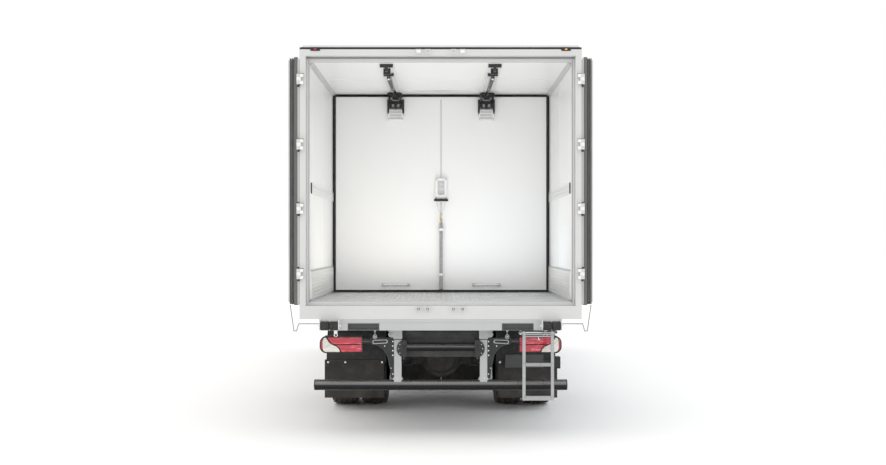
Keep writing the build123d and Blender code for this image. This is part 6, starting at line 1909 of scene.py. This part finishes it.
def front_end():
    form = Form(black_plastic)
    # Mesh in the air slots, left open round the tow pin, the step tread and the number-plate recess
    for low, high in ((430, 560), (620, 750)):
        form.picture_frame((-562, 562, low - 2, high + 2), (-548, 548, low + 12, high - 12),
                           (BUMPER_Y - 34, BUMPER_Y), "y")
        for k in range(37):
            x = -540 + k * 30
            if abs(x - 200) < 66 and low > 600:
                continue
            form.box((x - 3, x + 3), (BUMPER_Y - 24, BUMPER_Y - 18), (low + 8, high - 8))
        for z in range(low + 28, high - 16, 26):
            form.box((-550, 550 if low < 600 else 130), (BUMPER_Y - 26, BUMPER_Y - 20), (z - 3, z + 3))
    form.use(cab_grey)
    plan = [(-1241, 4268),
            (-1241, 4405)] + [(-1051 - 190.5 * math.cos(a),
                               4405 + 190.5 * math.sin(a)) for a in [math.pi / 2 * i / 8 for i in range(1,
                                                                                                        9)]]
    plan += [(-x, y) for x, y in reversed(plan)]
    lower = plan + [(x * 0.985, y - 18 if abs(x) < 1060 else y - 6) for x, y in reversed(plan)]
    form.prism(lower, (330, 424), "z")
    form.prism(lower, (905, 929), "z")
    form.use(rubber)
    form.prism(lower, (322, 332), "z")
    form.use(aluminium)
    form.box((-300, 300), (4480, 4592), (926, 931))
    for k in range(14):
        x = -280 + k * 42
        form.box((x, x + 22), (4490, 4586), (930, 933))
    form.use(black_plastic)
    form.prism(rounded(corners(-270, 270, 572, 610), 8), (BUMPER_Y - 8, BUMPER_Y - 0.5), "y")
    for side in (-1, 1):
        lamp = rounded(corners(side * 800, side * 1010, 470, 560), 20)
        form.use(black_plastic)
        form.prism(lamp, (BUMPER_Y - 10, BUMPER_Y - 1), "y")
        form.use(reflector)
        form.lathe([(0, 36), (-12, 28), (-18, 10), (-18, 0.01)], (side * 905, BUMPER_Y - 1, 515), "y", 28)
        form.use(clear_lens)
        form.lathe([(-2, 38), (0, 36), (0.4, 0.01)], (side * 905, BUMPER_Y - 1, 515), "y", 28)
    form.make("bumper_trim", bevel=1.4)

    steps = Form(aluminium)
    for side in (-1, 1):
        for z in (440, 700):
            # Tread plates with punched teeth
            for k in range(5):
                x = side * (990 + k * 48)
                for m in range(9):
                    y = 3915 + m * 35
                    steps.lathe([(0, 9), (3.5, 7), (3.5, 4.5), (0.5, 4)], (x, y, z), "z", 12)
            steps.box((side * 965, side * 1216), (3882, 3900), (z, z + 3))
            steps.box((side * 965, side * 1216), (4214, 4230), (z, z + 3))
        steps.use(cab_grey)
        steps.box((side * 1216, side * 1222), (3866, 4247), (640, 700))
        steps.box((side * 1216, side * 1222), (3866, 4247), (380, 438))
        steps.box((side * 1216, side * 1222), (3866, 4247), (958, 994))
        for z in (648, 662, 676, 690, 392, 408, 424, 968, 982):
            steps.box((side * 1221, side * 1224), (3880, 4233), (z - 2.5, z + 2.5))
        steps.use(aluminium)
    steps.make("cab_steps_trim", bevel=0.8, segments=1)

    guards = Form(black_plastic)
    for side in (-1, 1):
        for x in (side * 838, side * 1196):
            points = [(x, FRONT_AXLE_Y + math.cos(math.radians(a)) * 644,
                       TYRE_R + math.sin(math.radians(a)) * 644) for a in range(14, 168, 7)]
            guards.tube(points, 7, 8)
        flap = corners(FRONT_AXLE_Y - 640, FRONT_AXLE_Y - 634, 700, 300)
        guards.prism(flap, (side * 840, side * 1196), "x")
        guards.box((side * 836, side * 1200), (FRONT_AXLE_Y - 646, FRONT_AXLE_Y - 628), (640, 664))
    guards.make("front_guard_trim", bevel=0)


def cab_door_trim(side, word):
    body = f"cab_door_{word}"
    form = Form(black_plastic)
    # Window rubber, handle, lower moulding and the pressed swage line
    def window(inset):
        low, high = 1750 + inset, 2500 - inset
        return rounded([(4255 - inset * 1.1, low), (4135 - inset * 0.9, high), (3425 + inset, high),
                        (3425 + inset, low)], [30, 46, 60, 60], 5)
    outer, inner = window(-26), window(3)
    form.band(outer, inner, (side * 1206, side * 1222.5), ALONG["x"])
    form.box((side * 1194, side * 1198), (3398, 3562), (1594, 1646))
    form.tube([(side * 1206, 3405, 1634), (side * 1218, 3412, 1636), (side * 1219, 3480, 1637),
               (side * 1218, 3548, 1636), (side * 1206, 3555, 1634)], 8, 10)
    form.use(cab_grey)
    form.prism(rounded(corners(3868, 4340, 1078, 1176), [20, 30, 30, 20]), (side * 1216, side * 1224), "x")
    form.use(cab_paint)
    form.prism([(side * 1219, 1668), (side * 1223.5, 1676), (side * 1223.5, 1690), (side * 1219, 1700)],
               (3345, 4335), "y")
    form.prism([(side * 1219, 1350), (side * 1222.5, 1356), (side * 1222.5, 1372), (side * 1219, 1380)],
               (3345, 4335), "y")
    form.use(zinc)
    form.lathe([(0, 13), (side * 3, 12), (side * 4, 0.01)], (side * 1220, 3590, 1620), "x", 18)
    form.use(black_plastic)
    # Inner door card with arm rest and pocket
    form.use(trim_grey)
    card = rounded(corners(3370, 4300, 1250, 1700), 40)
    form.prism(card, (side * 1146, side * 1161), "x")
    form.prism(rounded([(3520, 1540), (4060, 1560), (4060, 1610), (3520, 1600)], 14),
               (side * 1092, side * 1148), "x")
    form.use(dash_grey)
    form.prism(rounded([(3480, 1290), (4180, 1290), (4180, 1420), (3480, 1400)], 30),
               (side * 1112, side * 1148), "x")
    form.make(f"cab_door_trim_{word}", body, bevel=2.2)

    mirror = Form(cab_grey)
    y = 4285
    # A soft-edged housing with the main glass and the wide-angle glass below it
    plan = rounded([(side * 1330, y - 78), (side * 1545, y - 78), (side * 1549, y - 20),
                    (side * 1500, y + 8), (side * 1370, y + 9), (side * 1331, y - 24)],
                   [10, 16, 34, 40, 40, 30], 6)
    centre_x = sum(p[0] for p in plan) / len(plan)
    centre_y = sum(p[1] for p in plan) / len(plan)
    levels = [(1931, 0.55), (1936, 0.78), (1950, 0.93), (1972, 1.0), (2205, 1.0), (2438, 1.0), (2460, 0.93),
              (2474, 0.78), (2479, 0.55)]
    verts = [(centre_x + (px - centre_x) * s, centre_y + (py - centre_y) * s, z) for z, s in levels for px,
             py in plan]
    size = len(plan)
    faces = [tuple(range(size)), tuple((len(levels) - 1) * size + i for i in range(size))]
    for level_at in range(len(levels) - 1):
        for i in range(size):
            j = (i + 1) % size
            faces.append((level_at * size + i, level_at * size + j, (level_at + 1) * size + j,
                          (level_at + 1) * size + i))
    mirror.add(verts, faces)
    mirror.use(black_plastic)
    for z, foot_y, knee_y in ((1985, 4258, 4260), (2425, 4185, 4230)):
        mirror.tube([(side * 1224, foot_y, z), (side * 1290, knee_y, z), (side * 1372, y - 40, z)],
                    [17, 15, 15], 14)
        mirror.lathe([(0, 24), (side * 10, 23), (side * 16, 16), (side * 16, 0.01)],
                     (side * 1221, foot_y, z), "x", 24)
    for low, high in ((1966, 2150), (2176, 2446)):
        frame_points = rounded(corners(side * 1344, side * 1536, low, high), 22, 5)
        mirror.use(black_plastic)
        mirror.prism(frame_points, (y - 84, y - 76), "y")
        mirror.use(mirror_glass)
        glass_points = rounded(corners(side * 1350, side * 1530, low + 6, high - 6), 18, 5)
        mirror.prism(glass_points, (y - 87, y - 82), "y")
    mirror.make(f"mirror_housing_{word}", body, bevel=1.6, replaces=(f"mirror_{word}",))


def cab_inside():
    form = Form(dash_grey)
    # Fascia with a soft top roll, binnacle, centre stack, vents and glove lids
    front = CAB_FRONT_Y - 82
    form.prism(rounded([(front - 8, 1430), (front - 8, 1694), (front - 190, 1706), (front - 318, 1640),
                        (front - 330, 1580), (front - 300, 1430)], [0, 20, 60, 40, 30, 30]), (-1066, 1066),
               "x")
    form.prism(rounded([(front - 330, 1590), (front - 200, 1712), (front - 90, 1760), (front - 80, 1700)],
                       14), (-900, -500), "x")
    form.use(trim_grey)
    form.prism([(front - 338, 1440), (front - 320, 1440), (front - 320, 1600), (front - 346, 1590)],
               (-330, 330), "x")
    form.prism([(front - 330, 1440), (front - 310, 1440), (front - 312, 1560), (front - 336, 1560)],
               (420, 1000), "x")
    form.box((-1050, 1050), (front - 262, front - 198), (1222, 1432))
    form.use(black_plastic)
    for x in (-1000, -420, 400, 960):
        form.picture_frame((x - 60, x + 60, 1560, 1622), (x - 52, x + 52, 1568, 1614),
                           (front - 346, front - 322), "y")
        for row in range(4):
            form.box((x - 52, x + 52), (front - 342, front - 326), (1572 + row * 11, 1575 + row * 11))
    form.prism(rounded(corners(-240, 240, 1480, 1575), 10), (front - 352, front - 336), "y")
    form.use(reflector)
    for x in (-760, -640):
        form.lathe([(0, 52), (-5, 54), (-8, 50), (-3, 46)], (x, front - 205, 1706), "y", 32)
    form.use(cab_grey)
    form.rod((-700, 4248, 1512), (-700, 4054, 1756), 34, 20)
    form.box((-760, -640), (4130, 4220), (1560, 1640))
    form.tube([(-700, 4080, 1722), (-560, 4070, 1735), (-520, 4066, 1738)], [8, 7, 9], 10)
    form.tube([(-700, 4080, 1722), (-840, 4070, 1735), (-880, 4066, 1738)], [8, 7, 9], 10)
    form.make("dashboard_skin", "cab", bevel=3, segments=3, replaces=("dashboard",))

    wheel = Form(dash_grey)
    start, end = Vector((-700, 4238, 1520)), Vector((-700, 4050, 1760))
    way = (end - start).normalized()
    hub = end + way * 12
    across_axis = Vector((1, 0, 0))
    up_axis = way.cross(across_axis).normalized()
    ring = []
    for i in range(56):
        a = 2 * math.pi * i / 56
        ring.append(hub + across_axis * math.cos(a) * 225 + up_axis * math.sin(a) * 225)
    wheel.tube(ring, 14.5, 14, True)
    wheel.use(cab_grey)
    for degrees in (90, 210, 330):
        a = math.radians(degrees)
        out = across_axis * math.cos(a) + up_axis * math.sin(a)
        side_way = out.cross(way).normalized()
        verts = []
        for reach, half, drop in ((40, 32, 8), (120, 22, 2), (215, 18, 0)):
            for s in (-1, 1):
                for t in (-7, 7):
                    verts.append(hub + out * reach + side_way * half * s - way * (drop - t))
        faces = []
        for k in range(2):
            b = k * 4
            faces += [(b, b + 4, b + 5, b + 1), (b + 2, b + 3, b + 7, b + 6), (b, b + 2, b + 6, b + 4),
                      (b + 1, b + 5, b + 7, b + 3)]
        faces += [(0, 1, 3, 2), (8, 10, 11, 9)]
        wheel.add(verts, faces)
    pad = []
    for radius, rise in ((0.01, 20), (40, 18), (62, 10), (66, 0), (60, -14), (0.01, -14)):
        pad.append((radius, rise))
    verts, faces = [], []
    for step in range(36):
        a = 2 * math.pi * step / 36
        for radius, rise in pad:
            verts.append(hub + (across_axis * math.cos(a) + up_axis * math.sin(a)) * radius + way * rise)
    for step in range(36):
        for i in range(len(pad) - 1):
            p, q = step * len(pad) + i, ((step + 1) % 36) * len(pad) + i
            faces.append((p, q, q + 1, p + 1))
    wheel.use(dash_grey)
    wheel.add(verts, faces)
    wheel.make("steering_wheel_rim", "steering_wheel", bevel=2, replaces=("steering_wheel",))

    lining = Form(trim_grey)
    # Tunnel cover, floor mat, back wall and roof lining
    lining.prism(rounded([(-404, 1216), (-404, 1404), (404, 1404), (404, 1216)], [0, 40, 40, 0]),
                 (3008, 4180), "y")
    lining.box((-1156, 1156), (3006, 3016), (1226, 2560))
    lining.prism(rounded([(-1150, 2676), (1150, 2676), (1120, 2688), (-1120, 2688)], 4), (3030, 4000), "y")
    lining.use(rubber)
    for side in (-1, 1):
        lining.box((side * 410, side * 1150), (3020, 4180), (1221, 1226))
        for k in range(22):
            lining.box((side * 430, side * 1130), (3050 + k * 50, 3062 + k * 50), (1225, 1228))
    lining.make("cab_lining", "cab", bevel=2)


def cushion(name, x, y, z, finish, crown):
    """A padded block: crowned faces, pulled-in corners and two sewn channels along it."""
    (x0, x1), (y0, y1), (z0, z1) = x, y, z
    cells = 22
    mesh = bpy.data.meshes.new(name)
    work = bmesh.new()
    bmesh.ops.create_cube(work, size=2)
    bmesh.ops.subdivide_edges(work, edges=work.edges[:], cuts=cells, use_grid_fill=True)
    centre = Vector(((x0 + x1) / 2, (y0 + y1) / 2, (z0 + z1) / 2))
    half = Vector(((x1 - x0) / 2, (y1 - y0) / 2, (z1 - z0) / 2))
    thin = min(range(3), key=lambda i: half[i])
    wide = [i for i in range(3) if i != thin]
    for vert in work.verts:
        p = vert.co.copy()
        # Rounded block: a high power norm pulls the corners in
        power = 5.0
        length = sum(abs(c) ** power for c in p) ** (1 / power)
        largest = max(abs(c) for c in p)
        out = p * (largest / length)
        edge = (1 - abs(p[wide[0]]) ** 4) * (1 - abs(p[wide[1]]) ** 4)
        side_pull = 1 - 0.035 * (1 - abs(p[wide[0]]) ** 2)
        out[wide[1]] *= side_pull
        puff = crown * edge / half[thin]
        sign = 1 if p[thin] > 0 else -1
        if abs(p[thin]) > 0.5:
            out[thin] += sign * puff * 0.5
        # Sewn channels
        for at in (-0.42, 0.42):
            d = (p[0] - at) / 0.045
            groove = math.exp(-d * d) * edge
            if abs(p[thin]) > 0.5:
                out[thin] -= sign * groove * 7 / half[thin]
        vert.co = (centre + Vector((out[i] * half[i] for i in range(3)))) * MM
    for face in work.faces:
        face.smooth = True
    work.to_mesh(mesh)
    work.free()
    mesh.materials.append(finish)
    piece = bpy.data.objects.new(name, mesh)
    bpy.context.scene.collection.objects.link(piece)
    smooth = piece.modifiers.new("smooth", "SUBSURF")
    smooth.levels = smooth.render_levels = 1
    return piece


def seats():
    for index, (x, half) in enumerate(((-700, 240), (680, 260))):
        y = CAB_BACK_Y + 60 + 330
        base = cushion(f"seat_cushion_{index}", (x - half, x + half), (y - 205, y + 268), (1508, 1640),
                       seat_cloth, 26)
        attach(base, "cab")
        back = cushion(f"seat_back_{index}", (x - half + 12, x + half - 12), (-70, 70), (0, 600), seat_cloth,
                       22)
        lean = math.atan2(80, 630)
        turn = Matrix.Translation(Vector((0, (y - 150) * MM, 1606 * MM))) @ Matrix.Rotation(lean, 4, "X")
        back.data.transform(turn)
        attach(back, "cab")
        head = cushion(f"head_rest_{index}", (x - 130, x + 130), (-46, 46), (560, 690), seat_side, 14)
        head.data.transform(turn)
        head.data.transform(Matrix.Translation(Vector((0, 0, -0.07))))
        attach(head, "cab")
        form = Form(trim_grey)
        form.prism(rounded([(y - 160, 1222), (y + 200, 1222), (y + 170, 1505), (y - 130, 1505)], 20),
                   (x - half * 0.66, x + half * 0.66), "x")
        form.box((x - half + 8, x + half - 8), (y - 200, y + 250), (1490, 1516))
        form.use(black_plastic)
        form.rod((x - half * 0.7, y + 236, 1474), (x + half * 0.7, y + 236, 1474), 9, 12)
        form.rod((x + half - 6, y - 150, 1520), (x + half - 6, y - 158, 1585), 20, 16)
        form.use(bright)
        for s in (-1, 1):
            form.rod((x + s * 60, y - 222, 2110), (x + s * 60, y - 228, 2180), 7, 10)
        form.use(black_plastic)
        form.tube([(x + half - 2, y - 236, 2150), (x + half - 30, y - 160, 2040),
                   (x + half - 40, y - 80, 1800), (x + half - 10, y - 60, 1600)], 9, 6)
        form.make(f"seat_base_{index}", "cab", bevel=3, replaces=("seats",) if index == 0 else ())


portal_trim()
load_space_trim()
bulkhead()
rear_beam()
lamp_arms()
underrun()
hanging_eyes()
flaps()
guards_rear()
ladder_pieces()
wire_ends()
chassis_details()
tank_details()
side_guard_details()
body_outside()
fridge()
cab_skins()
grille_pieces()
front_end()
cab_inside()
seats()
for side, word in ((-1, "left"), (1, "right")):
    rear_door_trim(side, word)
    tail_lamp(side)
    front_wheel(side, word)
    rear_wheels(side, word)
    headlamp(side, word)
    cab_door_trim(side, word)


# Stage, light and camera

def stage():
    """A pale floor that runs to the horizon."""
    size = 150.0
    mesh = bpy.data.meshes.new("floor")
    mesh.from_pydata([(-size, -size, 0), (size, -size, 0), (size, size, 0), (-size, size, 0)], [],
                     [(0, 1, 2, 3)])
    floor = bpy.data.objects.new("floor", mesh)
    bpy.context.scene.collection.objects.link(floor)
    made, tree, shader = new_material("stage_pale")
    tone = ramp(tree, noise(tree, 0.3), [(0.2, (0.985, 0.985, 0.985)), (0.8, (1.0, 1.0, 1.0))])
    link(tree, tone, shader.inputs["Base Color"])
    shader.inputs["Roughness"].default_value = 0.9
    shader.inputs["Specular IOR Level"].default_value = 0.1
    mesh.materials.append(made)


def sun_light(name, direction, strength, spread, colour):
    light = bpy.data.lights.new(name, "SUN")
    light.energy = strength
    light.angle = math.radians(spread)
    light.color = colour
    lamp = bpy.data.objects.new(name, light)
    lamp.rotation_euler = Vector(direction).to_track_quat("-Z", "Y").to_euler()
    bpy.context.scene.collection.objects.link(lamp)


def area_light(name, location, target, size, watts, colour):
    light = bpy.data.lights.new(name, "AREA")
    light.shape = "RECTANGLE"
    light.size, light.size_y = size
    light.energy = watts
    light.color = colour
    lamp = bpy.data.objects.new(name, light)
    lamp.location = location
    lamp.rotation_euler = (Vector(target) - Vector(location)).to_track_quat("-Z", "Y").to_euler()
    lamp.visible_camera = False
    lamp.visible_glossy = False
    bpy.context.scene.collection.objects.link(lamp)


def lights():
    world = bpy.data.worlds.new("studio")
    world.use_nodes = True
    world.node_tree.nodes["Background"].inputs["Color"].default_value = (1, 1, 1, 1)
    world.node_tree.nodes["Background"].inputs["Strength"].default_value = 1.0
    bpy.context.scene.world = world
    sun_light("sky_warm", (0.75, 0.45, -1.2), 0.35, 60, (1.0, 0.90, 0.76))
    sun_light("sky_cool", (-0.75, 0.45, -1.2), 0.30, 60, (0.80, 0.90, 1.0))
    area_light("box_left", (-0.5, -3.45, 1.36), (-0.5, -3.44, 3.4), (1.0, 1.3), 10, (1.0, 0.95, 0.86))
    area_light("box_right", (0.5, -3.45, 1.36), (0.5, -3.44, 3.4), (1.0, 1.3), 10, (0.88, 0.95, 1.0))
    area_light("box_rear", (0, -9.5, 2.9), (0, -2.5, 2.1), (2.4, 1.6), 26, (1, 1, 1))


def camera():
    """The photograph's view: level, 9.6 m behind the rear frame."""
    lens = bpy.data.cameras.new("camera")
    lens.lens = 42.32
    lens.sensor_width = 36.0
    lens.shift_y = 0.0141
    lens.clip_end = 400
    eye = bpy.data.objects.new("camera", lens)
    eye.location = (0.022, REAR_Y * MM - 9.59, 1.806)
    eye.rotation_euler = (math.radians(90), 0, 0)
    bpy.context.scene.collection.objects.link(eye)
    bpy.context.scene.camera = eye


stage()
lights()
camera()
bpy.context.scene.view_settings.view_transform = "Standard"
